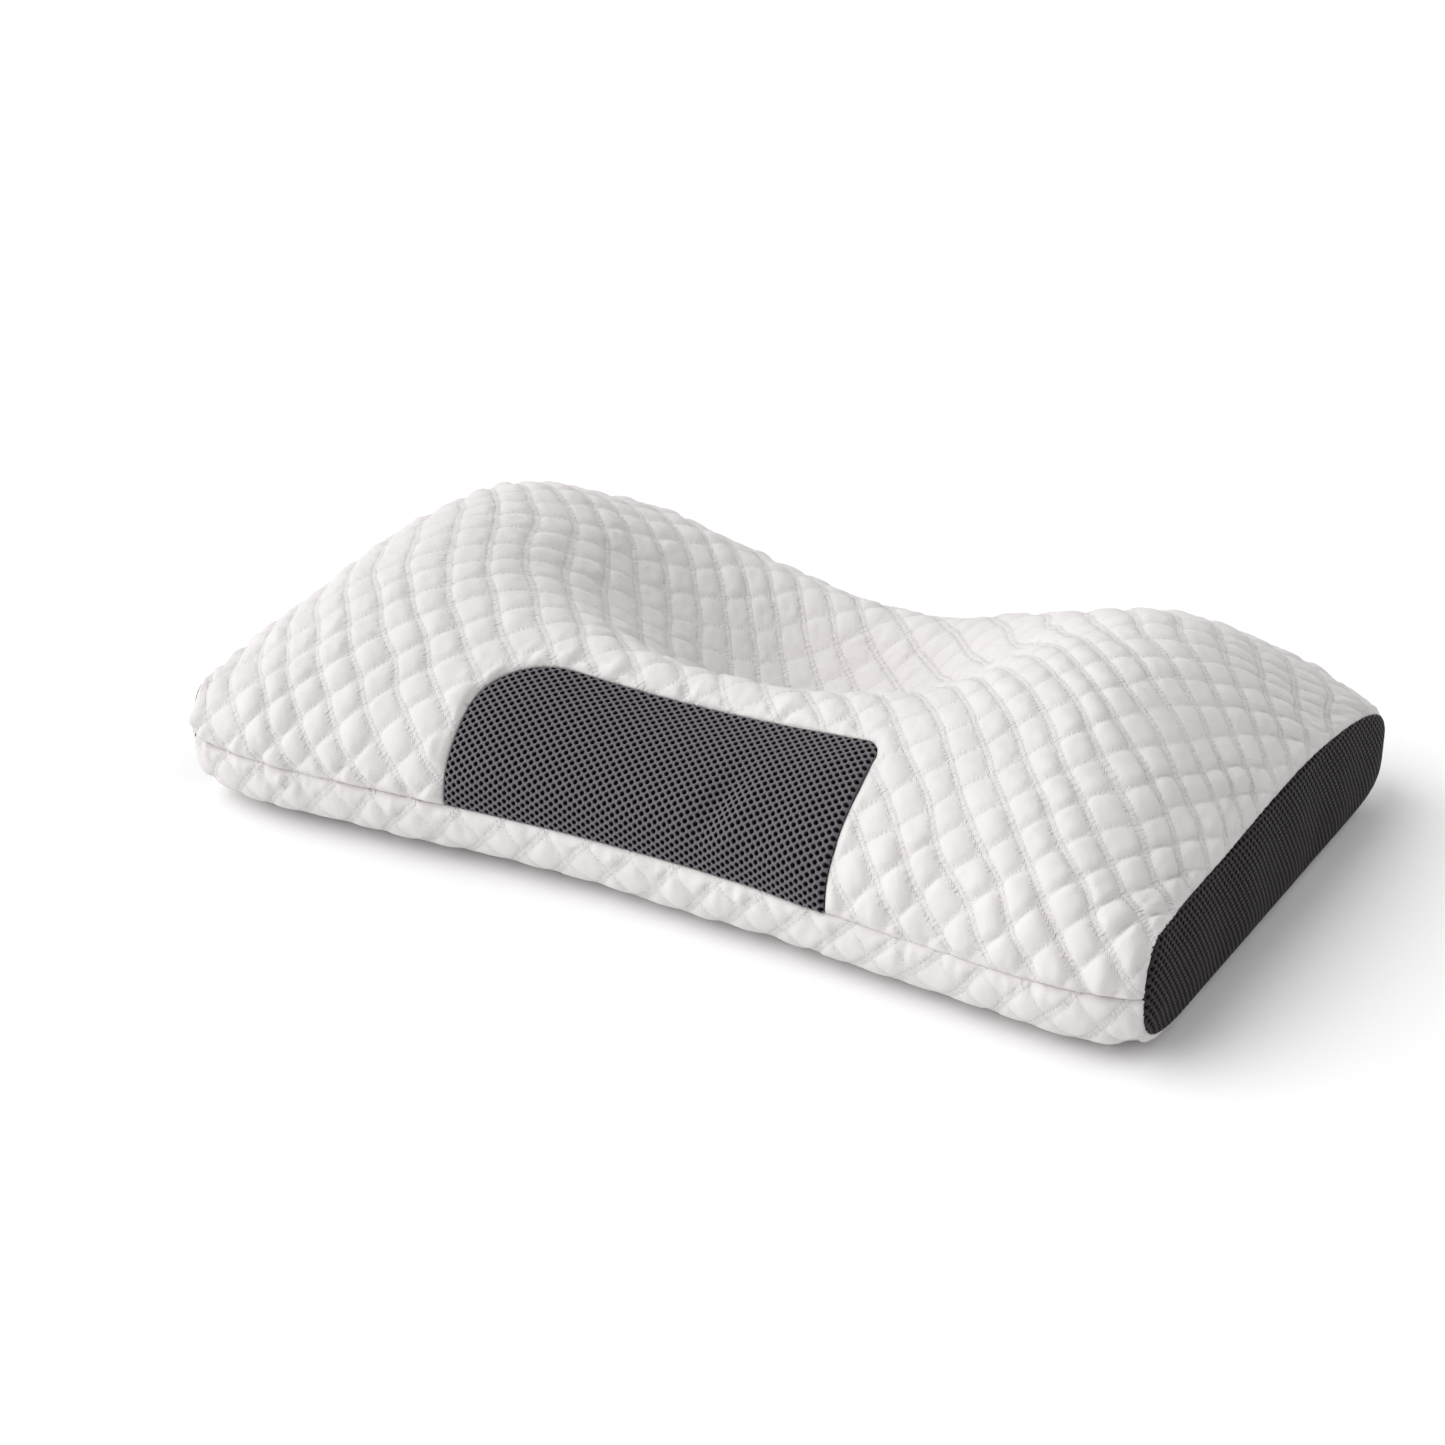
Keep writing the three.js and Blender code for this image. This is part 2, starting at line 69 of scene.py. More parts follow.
# The form's outline and sections, as in the CAD model
FRONT_SWEEP = 22
CORNER_TUCK = 18
CORNER_POWER = 9
TOP_ROUNDNESS = 2.6
FRONT_ROUNDNESS = 3
BACK_ROUNDNESS = 4
EDGE_REACH = 70
FLAT_HALF_WIDTH = 285
END_LIFT = 7
LOBE_PLACE = 0.67
LOBE_HEIGHTS = [(0, 80), (0.15, 98), (0.3, 109), (0.42, 113), (0.6, 110), (0.75, 94), (1, 60)]
CENTRE_HEIGHTS = [
    (0, 69), (0.15, 79), (0.22, 84), (0.3, 66), (0.38, 32), (0.47, 3),
    (0.56, -8), (0.64, 0), (0.8, 40), (0.9, 26), (1, 6),
]
END_HEIGHTS = [(0, 76), (0.1, 49), (0.3, 40), (0.6, 43), (0.8, 41), (1, 38)]

# Neck mesh panel, on a plane that leans back with the neck roll
PANEL_HALF_WIDTH = 133
PANEL_HEIGHT = 104
PANEL_LEFT_RADIUS = 50  # rounder than the CAD model's, which is 34
PANEL_RIGHT_RADIUS = 12
PANEL_UP = (0.8, 0.6)  # the plane's upward direction in Y and Z

# Zip opening in the back edge
ZIP_HEIGHT = 32
ZIP_HALF_LENGTH = 218
ZIP_HALF_OPENING = 5.2

# Quilting: stitch lines run both ways at about 45 degrees, QUILT_STEPS grid steps apart
QUILT_STEPS = 16
STEP_U = 1.9
STEP_S = 2.12
FIRST_ROW = 8  # rows of spare cloth before the front seam
QUILT_U = QUILT_STEPS * STEP_U
QUILT_S = QUILT_STEPS * STEP_S
QUILT_SPACING = QUILT_U * QUILT_S / math.hypot(QUILT_U, QUILT_S)
WIDE_BAND = 2.6  # half the width that the doubled stitch rows hold down, one way
NARROW_BAND = 0.9  # and the other way
PUFF_HEIGHT = 4.6
STITCH_LENGTH = 3

# Spacer mesh
MESH_PITCH = 5.2  # between holes up a column
MESH_COLUMN = 3.25  # between columns, each one half a pitch higher than the last
HOLE_RADIUS = 1.35
NET_THICKNESS = 1.3
MESH_THICKNESS = 3.0

HEM = 4.0  # how far cut edges are turned in
FAR = 1000  # stands for the distance to an edge that isn't near


# ---- The form ----


def smooth_through(points):
    """A smooth curve through points of rising first value, with no overshoot between them."""
    place, value = np.array(points, float).T
    step = np.diff(place)
    rise = np.diff(value) / step
    product = rise[:-1] * rise[1:]
    total = np.where(product > 0, rise[:-1] + rise[1:], 1)
    inner = np.where(product > 0, 2 * product / total, 0)
    slope = np.concatenate([rise[:1], inner, rise[-1:]])

    def curve(at):
        i = np.clip(np.searchsorted(place, at, side="right") - 1, 0, len(step) - 1)
        t = (at - place[i]) / step[i]
        start = value[i] * (1 + 2 * t) + slope[i] * step[i] * t
        end = value[i + 1] * (3 - 2 * t) - slope[i + 1] * step[i] * (1 - t)
        return start * (1 - t) ** 2 + end * t**2

    return curve


lobe_height = smooth_through(LOBE_HEIGHTS)
centre_height = smooth_through(CENTRE_HEIGHTS)
end_height = smooth_through(END_HEIGHTS)


def smoothstep(value, low=0.0, high=1.0):
    t = np.clip((value - low) / (high - low), 0, 1)
    return t * t * (3 - 2 * t)


def bell(distance, width):
    """A smooth bump, 1 at no distance and falling off over width."""
    return np.exp(-((distance / width) ** 2))


def unit(vectors):
    length = np.linalg.norm(vectors, axis=-1, keepdims=True)
    return vectors / np.maximum(length, 1e-9)


def height_above_seam(x, across):
    share = np.abs(x) / HALF_WIDTH
    lobe = lobe_height(across)
    rise = (lobe - centre_height(across)) * smoothstep(share / LOBE_PLACE)
    beyond = (share - LOBE_PLACE) / (1 - LOBE_PLACE)
    end = end_height(across)
    outer = end + (lobe - end) * (1 - beyond**2)
    return np.where(share < LOBE_PLACE, centre_height(across) + rise, outer)


def front_edge(x):
    share = np.abs(x) / HALF_WIDTH
    inside = np.minimum(share, 1)
    return -DEPTH / 2 + FRONT_SWEEP * (1 - inside**2) ** 2 + CORNER_TUCK * share**CORNER_POWER


def back_edge(x):
    return DEPTH / 2 - CORNER_TUCK * (np.abs(x) / HALF_WIDTH) ** CORNER_POWER


def floor_height(x):
    beyond = np.maximum(0, abs(x) - FLAT_HALF_WIDTH) / (HALF_WIDTH - FLAT_HALF_WIDTH)
    return END_LIFT * beyond**2


def top_line(x, steps=500):
    """The section over the top at x, from the front seam to the back."""
    angle = np.linspace(0, math.pi, steps)
    cos = np.cos(angle)
    reach = np.sign(cos) * np.abs(cos) ** (2 / TOP_ROUNDNESS)
    front, back = front_edge(x), back_edge(x)
    y = (front + back) / 2 - (back - front) / 2 * reach
    across = np.clip((y - front) / (back - front), 0, 1)
    lift = np.maximum(0, np.sin(angle)) ** (2 / TOP_ROUNDNESS)
    z = SEAM_HEIGHT + height_above_seam(x, across) * lift
    return np.column_stack([np.full(steps, x), y, z])


def lower_edge_line(x, edge, inward, roundness, steps=60):
    """The rounded edge below the seam at x, from the seam to the flat underside."""
    angle = np.linspace(0, math.pi / 2, steps)
    cos = np.maximum(0, np.cos(angle))
    y = edge + inward * EDGE_REACH * (1 - cos ** (2 / roundness))
    floor = floor_height(x)
    z = floor + (SEAM_HEIGHT - floor) * (1 - np.sin(angle) ** (2 / roundness))
    return np.column_stack([np.full(steps, x), y, z])


def section(x):
    """The whole section at x: from the front seam over the top, then back underneath."""
    back = lower_edge_line(x, back_edge(x), -1, BACK_ROUNDNESS)
    front = lower_edge_line(x, front_edge(x), 1, FRONT_ROUNDNESS)
    return np.vstack([top_line(x), back[1:], front[::-1]])


def by_length(line, lengths):
    """Points at the given lengths along a line, which carries on straight before its start."""
    ahead = (line[1] - line[0]) / np.linalg.norm(line[1] - line[0])
    line = np.vstack([line[0] - 40 * ahead, line])
    along = np.concatenate([[0], np.cumsum(np.linalg.norm(np.diff(line, axis=0), axis=1))]) - 40
    return np.column_stack([np.interp(lengths, along, line[:, k]) for k in range(3)])


def noise_like(shape, size, seed):
    """Smooth random values with a spread of 1; size is the patches' size in grid steps."""
    size_i, size_j = np.broadcast_to(size, 2)
    random = np.random.default_rng(seed).standard_normal(shape)
    i, j = (np.fft.fftfreq(n) for n in shape)
    distance = (3 * size_i * i[:, None]) ** 2 + (3 * size_j * j[None, :]) ** 2
    soft = np.fft.ifft2(np.fft.fft2(random) * np.exp(-distance)).real
    return soft / soft.std()


def grid_quads(columns, rows, flipped=False):
    """The quads of a grid, as indices into its points in row order."""
    i, j = np.meshgrid(np.arange(columns - 1), np.arange(rows - 1), indexing="ij")
    corner = (i * rows + j).ravel()
    quads = np.column_stack([corner, corner + rows, corner + rows + 1, corner + 1])
    return quads[:, ::-1] if flipped else quads


class Cloth:
    """A grid of points over the form, evenly spaced in fabric length: [u index, s index].

    form and form_normals are the plain grid. points, normals and along are the cloth as it
    really lies, shifted a little over the form; along is its distance from the seam."""

    def __init__(self, half_columns, rows, seed, under=False):
        self.u = STEP_U * np.arange(-half_columns, half_columns + 1)
        self.s = STEP_S * np.arange(-FIRST_ROW, rows - FIRST_ROW)
        self.under = under
        stations = np.linspace(-HALF_WIDTH - 25, HALF_WIDTH + 25, 357)
        lines = [section(x) for x in stations]
        if under:
            lines = [line[::-1] for line in lines]
        table = np.array([by_length(line, self.s) for line in lines])
        steps = np.linalg.norm(np.diff(table, axis=0), axis=2)
        length = np.concatenate([np.zeros((1, rows)), np.cumsum(steps, axis=0)])
        length -= length[len(stations) // 2]
        self.form = np.empty((len(self.u), rows, 3))
        for j in range(rows):
            for k in range(3):
                self.form[:, j, k] = np.interp(self.u, length[:, j], table[:, j, k])
        self.form_normals = self.normals_of(self.form)
        u, s = np.meshgrid(self.u, self.s, indexing="ij")
        u, s = self.drawn(u, s, seed)
        self.along = s
        self.points = self.sample(self.form, u.ravel(), s.ravel()).reshape(self.form.shape)
        self.normals = self.normals_of(self.points)

    def normals_of(self, points):
        normals = np.cross(np.gradient(points, axis=0), np.gradient(points, axis=1))
        return unit(normals) * (-1 if self.under else 1)

    def drawn(self, u, s, seed):
        """Where the cloth really lies: drawn in at the ends, higher on the right, uneven."""
        shape = u.shape
        front = 1 - smoothstep(s, 150, 380)
        pulled = np.maximum(np.abs(u) - 180, 0) * 0.07 * front
        higher = 0 if self.under else -10 * smoothstep(u, -60, 220) * front
        uneven = smoothstep(s, -4, 25) * (1 + 0.25 * bell(s, 120))
        across = noise_like(shape, 9, seed) * uneven
        along = noise_like(shape, 9, seed + 1) * uneven
        return u - np.sign(u) * pulled + across, s - higher + along

    def sample(self, values, u, s):
        """Values on the grid, read between its points at fabric coordinates u and s."""
        i = np.clip((u - self.u[0]) / STEP_U, 0, len(self.u) - 1.001)
        j = np.clip((s - self.s[0]) / STEP_S, 0, len(self.s) - 1.001)
        i0, j0 = i.astype(int), j.astype(int)
        fi, fj = (i - i0)[:, None], (j - j0)[:, None]
        low = values[i0, j0] * (1 - fi) + values[i0 + 1, j0] * fi
        high = values[i0, j0 + 1] * (1 - fi) + values[i0 + 1, j0 + 1] * fi
        return low * (1 - fj) + high * fj

    def faces(self):
        """The grid's quads, facing out."""
        return grid_quads(len(self.u), len(self.s), flipped=self.under)


# Both counts of points are odd, so every second one makes an even coarser grid
top_cloth = Cloth(half_columns=218, rows=265, seed=3)
under_cloth = Cloth(half_columns=186, rows=235, seed=5, under=True)


# ---- Outlines ----


def beyond_neck_panel(points):
    """How far points lie outside the neck panel's outline; negative inside it."""
    up = (points[..., 1] - front_edge(PANEL_HALF_WIDTH)) * PANEL_UP[0]
    up = up + (points[..., 2] - SEAM_HEIGHT) * PANEL_UP[1]
    x = points[..., 0]
    radius = np.where(x < 0, PANEL_LEFT_RADIUS, PANEL_RIGHT_RADIUS)
    side = np.abs(x) - (PANEL_HALF_WIDTH - radius)
    top = up - (PANEL_HEIGHT - radius)
    corner = np.hypot(np.maximum(side, 0), np.maximum(top, 0))
    return corner + np.minimum(np.maximum(side, top), 0) - radius


def zip_edge(x, side):
    """The height of the cover's edge along the back, above (+1) or below (-1) the zip."""
    opening = smoothstep(ZIP_HALF_LENGTH + 3 - np.abs(x), 0, 8)
    return ZIP_HEIGHT + side * (SEAM_GAP / 2 + (ZIP_HALF_OPENING - SEAM_GAP / 2) * opening)


def above_zip(points, side):
    """Distance from the cover's back edge into the panel; large away from the back."""
    height = side * (points[..., 2] - zip_edge(points[..., 0], side))
    at_back = points[..., 1] > 80
    return np.where(at_back, height, FAR)


def inside_outline(points, outline):
    """Signed distance of 2-D points to a closed outline, positive inside."""
    start, end = outline, np.roll(outline, -1, axis=0)
    nearest = np.full(len(points), np.inf)
    inside = np.zeros(len(points), bool)
    for (ax, ay), (bx, by) in zip(start, end):
        dx, dy = bx - ax, by - ay
        px, py = points[:, 0] - ax, points[:, 1] - ay
        t = np.clip((px * dx + py * dy) / max(dx * dx + dy * dy, 1e-12), 0, 1)
        nearest = np.minimum(nearest, np.hypot(px - t * dx, py - t * dy))
        crosses = (ay > points[:, 1]) != (by > points[:, 1])
        slope = np.where(crosses, (points[:, 1] - ay) / (dy if dy else 1), 0)
        inside ^= crosses & (points[:, 0] < ax + slope * dx)
    return np.where(inside, nearest, -nearest)


# ---- Mesh tools ----

SNAP = 0.3  # a point this close to a cut is moved onto it


def clip(rows, faces, keep):
    """Cuts away the mesh where keep, a value at each point, is below zero.

    rows holds a point and what goes with it, all of it read off at the new edge points."""
    keep = np.where(np.abs(keep) < SNAP, 0, keep)
    inside = keep[faces] >= 0
    polygons = faces[inside.all(axis=1)].tolist()
    added, at_edge = [], {}
    for face in faces[inside.any(axis=1) & ~inside.all(axis=1)].tolist():
        polygon = []
        for a, b in zip(face, face[1:] + face[:1]):
            if keep[a] >= 0:
                polygon.append(a)
            if (keep[a] >= 0) != (keep[b] >= 0) and keep[a] * keep[b] < 0:
                key = (min(a, b), max(a, b))
                if key not in at_edge:
                    t = keep[a] / (keep[a] - keep[b])
                    at_edge[key] = len(rows) + len(added)
                    added.append(rows[a] + t * (rows[b] - rows[a]))
                polygon.append(at_edge[key])
        if len(polygon) > 2:
            polygons.append(polygon)
    return (np.vstack([rows, added]) if added else rows), polygons


def border_edges(faces):
    """Edges that belong to one face only, in that face's direction."""
    seen = {}
    for face in faces:
        for a, b in zip(face, face[1:] + face[:1]):
            if (b, a) in seen:
                del seen[(b, a)]
            else:
                seen[(a, b)] = True
    return list(seen)


def turn_in(rows, faces, depth=HEM):
    """Adds a hem: every cut edge turned straight into the pillow. rows[3:6] are normals."""
    edges = border_edges(faces)
    places = sorted({p for edge in edges for p in edge})
    shares = [0.4, 1.0]
    new_rows, index = [], {}
    for ring, share in enumerate(shares):
        for p in places:
            row = rows[p].copy()
            row[:3] -= row[3:6] * depth * share
            index[(p, ring + 1)] = len(rows) + len(new_rows)
            new_rows.append(row)
    for p in places:
        index[(p, 0)] = p
    hem = []
    for a, b in edges:
        for ring in range(len(shares)):
            hem.append([index[(b, ring)], index[(a, ring)],
                        index[(a, ring + 1)], index[(b, ring + 1)]])
    return np.vstack([rows, new_rows]), faces + hem


def compact(rows, faces):
    """Leaves out points that no face uses."""
    used = np.unique(np.concatenate([np.array(face) for face in faces]))
    place = np.full(len(rows), -1)
    place[used] = np.arange(len(used))
    return rows[used], [[int(place[p]) for p in face] for face in faces]


def add_object(name, data):
    """A new object, linked into the scene."""
    obj = bpy.data.objects.new(name, data)
    bpy.context.scene.collection.objects.link(obj)
    return obj


def cad_copy(node, name):
    """A CAD node's own mesh, as a new object."""
    return add_object(name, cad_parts[node].data.copy())


def shade_smooth(mesh):
    mesh.polygons.foreach_set("use_smooth", np.ones(len(mesh.polygons), bool))


def as_modified(obj):
    return obj.evaluated_get(bpy.context.evaluated_depsgraph_get())


def thicken(obj, millimetres):
    """Gives a sheet its thickness, away from the side that it faces."""
    thick = obj.modifiers.new("thickness", "SOLIDIFY")
    thick.thickness = millimetres * METRES


def make_mesh(name, points, faces, maps=None, values=None):
    """A smooth-shaded object from points in millimetres.

    maps are UV maps and values are numbers, both given at each point."""
    mesh = bpy.data.meshes.new(name)
    mesh.from_pydata((np.asarray(points)[:, :3] * METRES).tolist(), [], faces)
    corners = np.empty(len(mesh.loops), np.int32)
    mesh.loops.foreach_get("vertex_index", corners)
    for map_name, coordinates in (maps or {}).items():
        layer = mesh.uv_layers.new(name=map_name)
        layer.data.foreach_set("uv", np.asarray(coordinates)[corners].astype(np.float32).ravel())
    for value_name, numbers in (values or {}).items():
        layer = mesh.attributes.new(value_name, "FLOAT", "POINT")
        layer.data.foreach_set("value", np.asarray(numbers).astype(np.float32))
    shade_smooth(mesh)
    mesh.validate()
    return add_object(name, mesh)


def rolled(keep, depth, width):
    """How far cloth drops as it rolls over its edge; keep is the distance in from it."""
    return depth * (1 - np.sqrt(1 - np.clip(1 - keep / width, 0, 1) ** 2))


# ---- Materials ----


def feed(tree, socket, value):
    """Links a socket's value to an input, or sets the input to a plain value."""
    if isinstance(value, bpy.types.NodeSocket):
        tree.links.new(value, socket)
    else:
        socket.default_value = value


def add_node(tree, kind, inputs=None, **settings):
    node = tree.nodes.new(kind)
    for name, value in settings.items():
        setattr(node, name, value)
    for name, value in (inputs or {}).items():
        feed(tree, node.inputs[name], value)
    return node


def add_ramp(tree, value, low, high, start=0.0, end=1.0):
    inputs = {"Value": value, "From Min": low, "From Max": high, "To Min": start, "To Max": end}
    node = add_node(tree, "ShaderNodeMapRange", inputs, interpolation_type="SMOOTHSTEP")
    return node.outputs["Result"]


class Nodes:
    """A material's node tree, with short calls for the nodes used here."""

    def __init__(self, name):
        self.material = bpy.data.materials.new(name)
        self.material.use_nodes = True
        self.tree = self.material.node_tree
        self.tree.nodes.clear()
        self.shader = self.add("ShaderNodeBsdfPrincipled")
        output = self.add("ShaderNodeOutputMaterial")
        self.tree.links.new(self.shader.outputs[0], output.inputs["Surface"])

    def add(self, kind, inputs=None, **settings):
        return add_node(self.tree, kind, inputs, **settings)

    def compute(self, operation, *values):
        node = self.add("ShaderNodeMath", dict(enumerate(values)), operation=operation)
        return node.outputs[0]

    plus = partialmethod(compute, "ADD")
    minus = partialmethod(compute, "SUBTRACT")
    times = partialmethod(compute, "MULTIPLY")
    times_plus = partialmethod(compute, "MULTIPLY_ADD")
    larger = partialmethod(compute, "MAXIMUM")
    size = partialmethod(compute, "ABSOLUTE")

    def wave(self, value, length):
        """A sine of value that repeats every length."""
        return self.compute("SINE", self.times(value, 2 * math.pi / length))

    def ramp(self, *values):
        return add_ramp(self.tree, *values)

    def uv(self, name):
        return self.add("ShaderNodeUVMap", uv_map=name).outputs["UV"]

    def split(self, vector):
        node = self.add("ShaderNodeSeparateXYZ", {"Vector": vector})
        return node.outputs["X"], node.outputs["Y"]

    def noise(self, vector, scale, detail=2.0, roughness=0.5):
        inputs = {"Vector": vector, "Scale": scale, "Detail": detail, "Roughness": roughness}
        return self.add("ShaderNodeTexNoise", inputs).outputs["Fac"]

    def place(self):
        """Position on the piece, in millimetres."""
        coordinates = self.add("ShaderNodeTexCoord").outputs["Object"]
        inputs = {0: coordinates, "Scale": 1000.0}
        return self.add("ShaderNodeVectorMath", inputs, operation="SCALE").outputs[0]

    def mix(self, share, first, second):
        node = self.add("ShaderNodeMix", data_type="RGBA")
        sockets = [s for s in node.inputs if s.enabled]
        for socket, value in zip(sockets, (share, first, second)):
            feed(self.tree, socket, value)
        return next(s for s in node.outputs if s.enabled)

    def bump(self, height, strength=1.0):
        """height is in millimetres."""
        inputs = {"Height": height, "Distance": METRES, "Strength": strength}
        return self.add("ShaderNodeBump", inputs).outputs["Normal"]

    def set(self, **inputs):
        names = {"color": "Base Color", "sheen": "Sheen Weight", "specular": "Specular IOR Level"}
        for key, value in inputs.items():
            name = names.get(key, key.replace("_", " ").title())
            feed(self.tree, self.shader.inputs[name], value)


def rgb(red, green, blue):
    return (red, green, blue, 1.0)


def quilted_material():
    """White knit cloth with doubled rows of stitches along the quilting lines."""
    n = Nodes("quilted_knit")
    a, b = n.split(n.uv("quilt"))
    fabric = n.uv("fabric")
    height, shade, painted_highlight = 0.0, 0.0, 0.0
    # apart is from a line to each of its two rows, and reach to where its wrinkles end
    for across, along, apart, reach, depth in ((a, b, 1.7, 4.2, 0.9), (b, a, 0.6, 2.0, 0.5)):
        nearest = n.minus(across, n.compute("ROUND", across))
        distance = n.size(n.times(nearest, QUILT_SPACING))
        run = n.times(along, QUILT_SPACING)
        zigzag = n.times(n.wave(run, STITCH_LENGTH), 0.4)
        from_row = n.size(n.minus(n.plus(distance, zigzag), apart))
        dash = n.ramp(n.size(n.wave(run, 2 * STITCH_LENGTH)), 0.1, 0.5)
        stitch = n.times(n.ramp(from_row, 0.6, 0.15), dash)
        pulled = n.ramp(from_row, 1.5, 0.4)
        held = n.ramp(distance, reach, 0.45 * reach)
        cross = n.add("ShaderNodeCombineXYZ", {"X": run, "Y": n.times(nearest, 7.0)})
        wrinkle = n.minus(n.noise(cross.outputs[0], 0.45, 1.0), 0.5)
        one = n.times_plus(n.times(wrinkle, held), 1.8, n.times(pulled, -0.12))
        one = n.times_plus(stitch, 0.4, one)
        height = n.times_plus(one, depth, height)
        # Painted shade: the colour is darkened in each stitch line's valley, where the cloth is
        # held and pulled down
        shade = n.larger(shade, n.times(n.larger(n.times(held, 0.5), pulled), depth))
        # Painted highlight: the stitches are painted lighter than the cloth
        painted_highlight = n.larger(painted_highlight, n.times(stitch, depth))
    pucker = n.minus(n.noise(fabric, 0.12), 0.5)
    rib, course = n.split(fabric)
    knit = n.times(n.wave(rib, 1.1), n.wave(course, 0.9))
    total = n.plus(height, n.times_plus(knit, 0.05, n.times(pucker, 0.8)))
    soft = n.ramp(n.noise(fabric, 0.02), 0.3, 0.7)
    plain = n.mix(soft, rgb(0.685, 0.658, 0.655), rgb(0.71, 0.685, 0.678))
    # Painted shade in the stitch-line valleys, then the painted highlight on the stitches
    shaded = n.mix(n.times(shade, 0.13), plain, rgb(0.54, 0.505, 0.50))
    color = n.mix(n.times(painted_highlight, 0.6), shaded, rgb(0.79, 0.77, 0.765))
    n.set(color=color, roughness=0.82, normal=n.bump(total), sheen=0.15, specular=0.3)
    return n.material


def mesh_material(name, light, dark):
    """Charcoal yarn: painted highlight on the net's crests, painted shade, near black, in its
    holes.
    """
    n = Nodes(name)
    # Painted light: the yarn is painted lighter on the crests as highlight, and near black in the
    # holes and on the back sheet as shade
    painted_light = n.add("ShaderNodeAttribute", attribute_name="painted_light").outputs["Fac"]
    fibre = n.noise(n.place(), 1.6, 3.0, 0.7)
    tone = n.times_plus(n.minus(fibre, 0.5), 0.7, painted_light)
    color = n.mix(n.ramp(tone, 0.0, 1.0), dark, light)
    bump = n.bump(n.times(fibre, 0.35))
    n.set(color=color, roughness=0.7, normal=bump, sheen=0.08, sheen_roughness=0.4, specular=0.3)
    return n.material


def woven_material(name, light, dark, pitch):
    """Plain woven cloth, its threads crossing every pitch millimetres."""
    n = Nodes(name)
    u, s = n.split(n.uv("fabric"))
    weave = n.times(n.wave(u, pitch), n.wave(s, pitch))
    fibre = n.noise(n.place(), 0.8, 3.0)
    tone = n.times_plus(weave, 0.25, fibre)
    n.set(color=n.mix(n.ramp(tone, 0.2, 0.9), dark, light), roughness=0.85, specular=0.3,
          normal=n.bump(n.times(weave, 0.12)), sheen=0.1)
    return n.material


def fibre_material():
    """Loose white fibre: fine strands over soft clumps."""
    n = Nodes("fibre_fill")
    place = n.place()
    clump = n.noise(place, 0.06, 4.0, 0.6)
    strand = n.noise(place, 0.9, 4.0, 0.75)
    height = n.times_plus(strand, 0.8, n.times(clump, 3.0))
    color = n.mix(n.ramp(clump, 0.3, 0.7), rgb(0.80, 0.79, 0.76), rgb(0.90, 0.89, 0.87))
    n.set(color=color, roughness=0.95, normal=n.bump(height), sheen=0.3)
    return n.material


def nylon_material():
    n = Nodes("coil_nylon")
    grain = n.noise(n.place(), 0.7)
    color = n.mix(grain, rgb(0.82, 0.80, 0.79), rgb(0.90, 0.88, 0.87))
    n.set(color=color, roughness=0.38, normal=n.bump(n.times(grain, 0.02)))
    return n.material


def nickel_material():
    """Plated zinc with fine scuffs."""
    n = Nodes("zip_nickel")
    scuff = n.noise(n.place(), 2.5, 4.0, 0.7)
    color = n.mix(scuff, rgb(0.46, 0.46, 0.47), rgb(0.66, 0.66, 0.67))
    n.set(color=color, metallic=1.0, roughness=n.ramp(scuff, 0.2, 0.8, 0.22, 0.42),
          normal=n.bump(n.times(scuff, 0.03)))
    return n.material


QUILTED = quilted_material()
# For each mesh: the yarn's colour with a painted highlight, for the crests, then near-black
# painted shade, for the holes and back sheet
NECK_MESH = mesh_material("neck_mesh", rgb(0.158, 0.141, 0.159), rgb(0.010, 0.008, 0.010))
GUSSET_MESH = mesh_material("gusset_mesh", rgb(0.022, 0.016, 0.020), rgb(0.003, 0.002, 0.003))
CASE_CLOTH = woven_material("case_cloth", rgb(0.82, 0.81, 0.78), rgb(0.70, 0.69, 0.66), 0.9)
TAPE_CLOTH = woven_material("tape_cloth", rgb(0.86, 0.84, 0.83), rgb(0.70, 0.68, 0.67), 1.2)
FIBRE = fibre_material()
NYLON = nylon_material()
NICKEL = nickel_material()


def finish_piece(obj, node, material, body="pillow"):
    """Gives a piece its material and puts it in the place of its CAD node."""
    obj.data.materials.clear()
    obj.data.materials.append(material)
    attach(obj, body)
    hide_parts(node)


# ---- Quilted cover ----

LATTICE_U, LATTICE_S = -1, 1  # grid steps from the centre line and front seam to a crossing


def quilt_coordinates(cloth):
    """Two coordinates over the grid, whole numbers on one or the other set of stitch lines."""
    i = np.arange(len(cloth.u)) - len(cloth.u) // 2 - LATTICE_U
    j = np.arange(len(cloth.s)) - FIRST_ROW - LATTICE_S
    i, j = np.meshgrid(i, j, indexing="ij")
    return (i + j) / QUILT_STEPS, (i - j) / QUILT_STEPS


def from_line(coordinate):
    """Distance to the nearest stitch line of one set, in millimetres."""
    return np.abs(coordinate - np.round(coordinate)) * QUILT_SPACING


def puff_shape(a, b, creased):
    """The height share of a stuffed cell, from 0 on its stitch lines to 1 in the middle.

    creased is how deep the narrower stitch lines are; the wide ones are always deep."""
    half = QUILT_SPACING / 2

    def side(coordinate, other, band):
        crossing = 1 - from_line(other) / half
        band = band * (0.6 + 0.9 * crossing**2)
        t = np.clip((from_line(coordinate) - band) / (half - band), 0, 1)
        return 1 - (1 - t) ** 2.3

    first, second = side(a, b, WIDE_BAND), side(b, a, NARROW_BAND)
    rounded = 1 - np.minimum(1, ((1 - first) ** 2 + (1 - second) ** 2)) ** 0.9
    return rounded * creased + first * (1 - creased)


PUFF_CLOTH = {
    "vertex_group_mass": "pinned", "quality": 4, "mass": 0.2, "tension_stiffness": 12,
    "compression_stiffness": 12, "shear_stiffness": 4, "bending_stiffness": 0.05,
    "shrink_min": -0.07, "use_pressure": True, "uniform_pressure_force": 6,
}
PINNED_WIDTH = 1.0  # half the width that the simulation holds still along a stitch line
HELD_EDGE = 4  # and in from a panel's edge
SPARE_EDGE = 6  # how far past a panel's edge the simulated cloth goes
LARGEST_RISE = 7.0
EVEN_SHARE, BLOWN_SHARE = 0.6, 0.6  # of the plain puffs and of the simulated ones


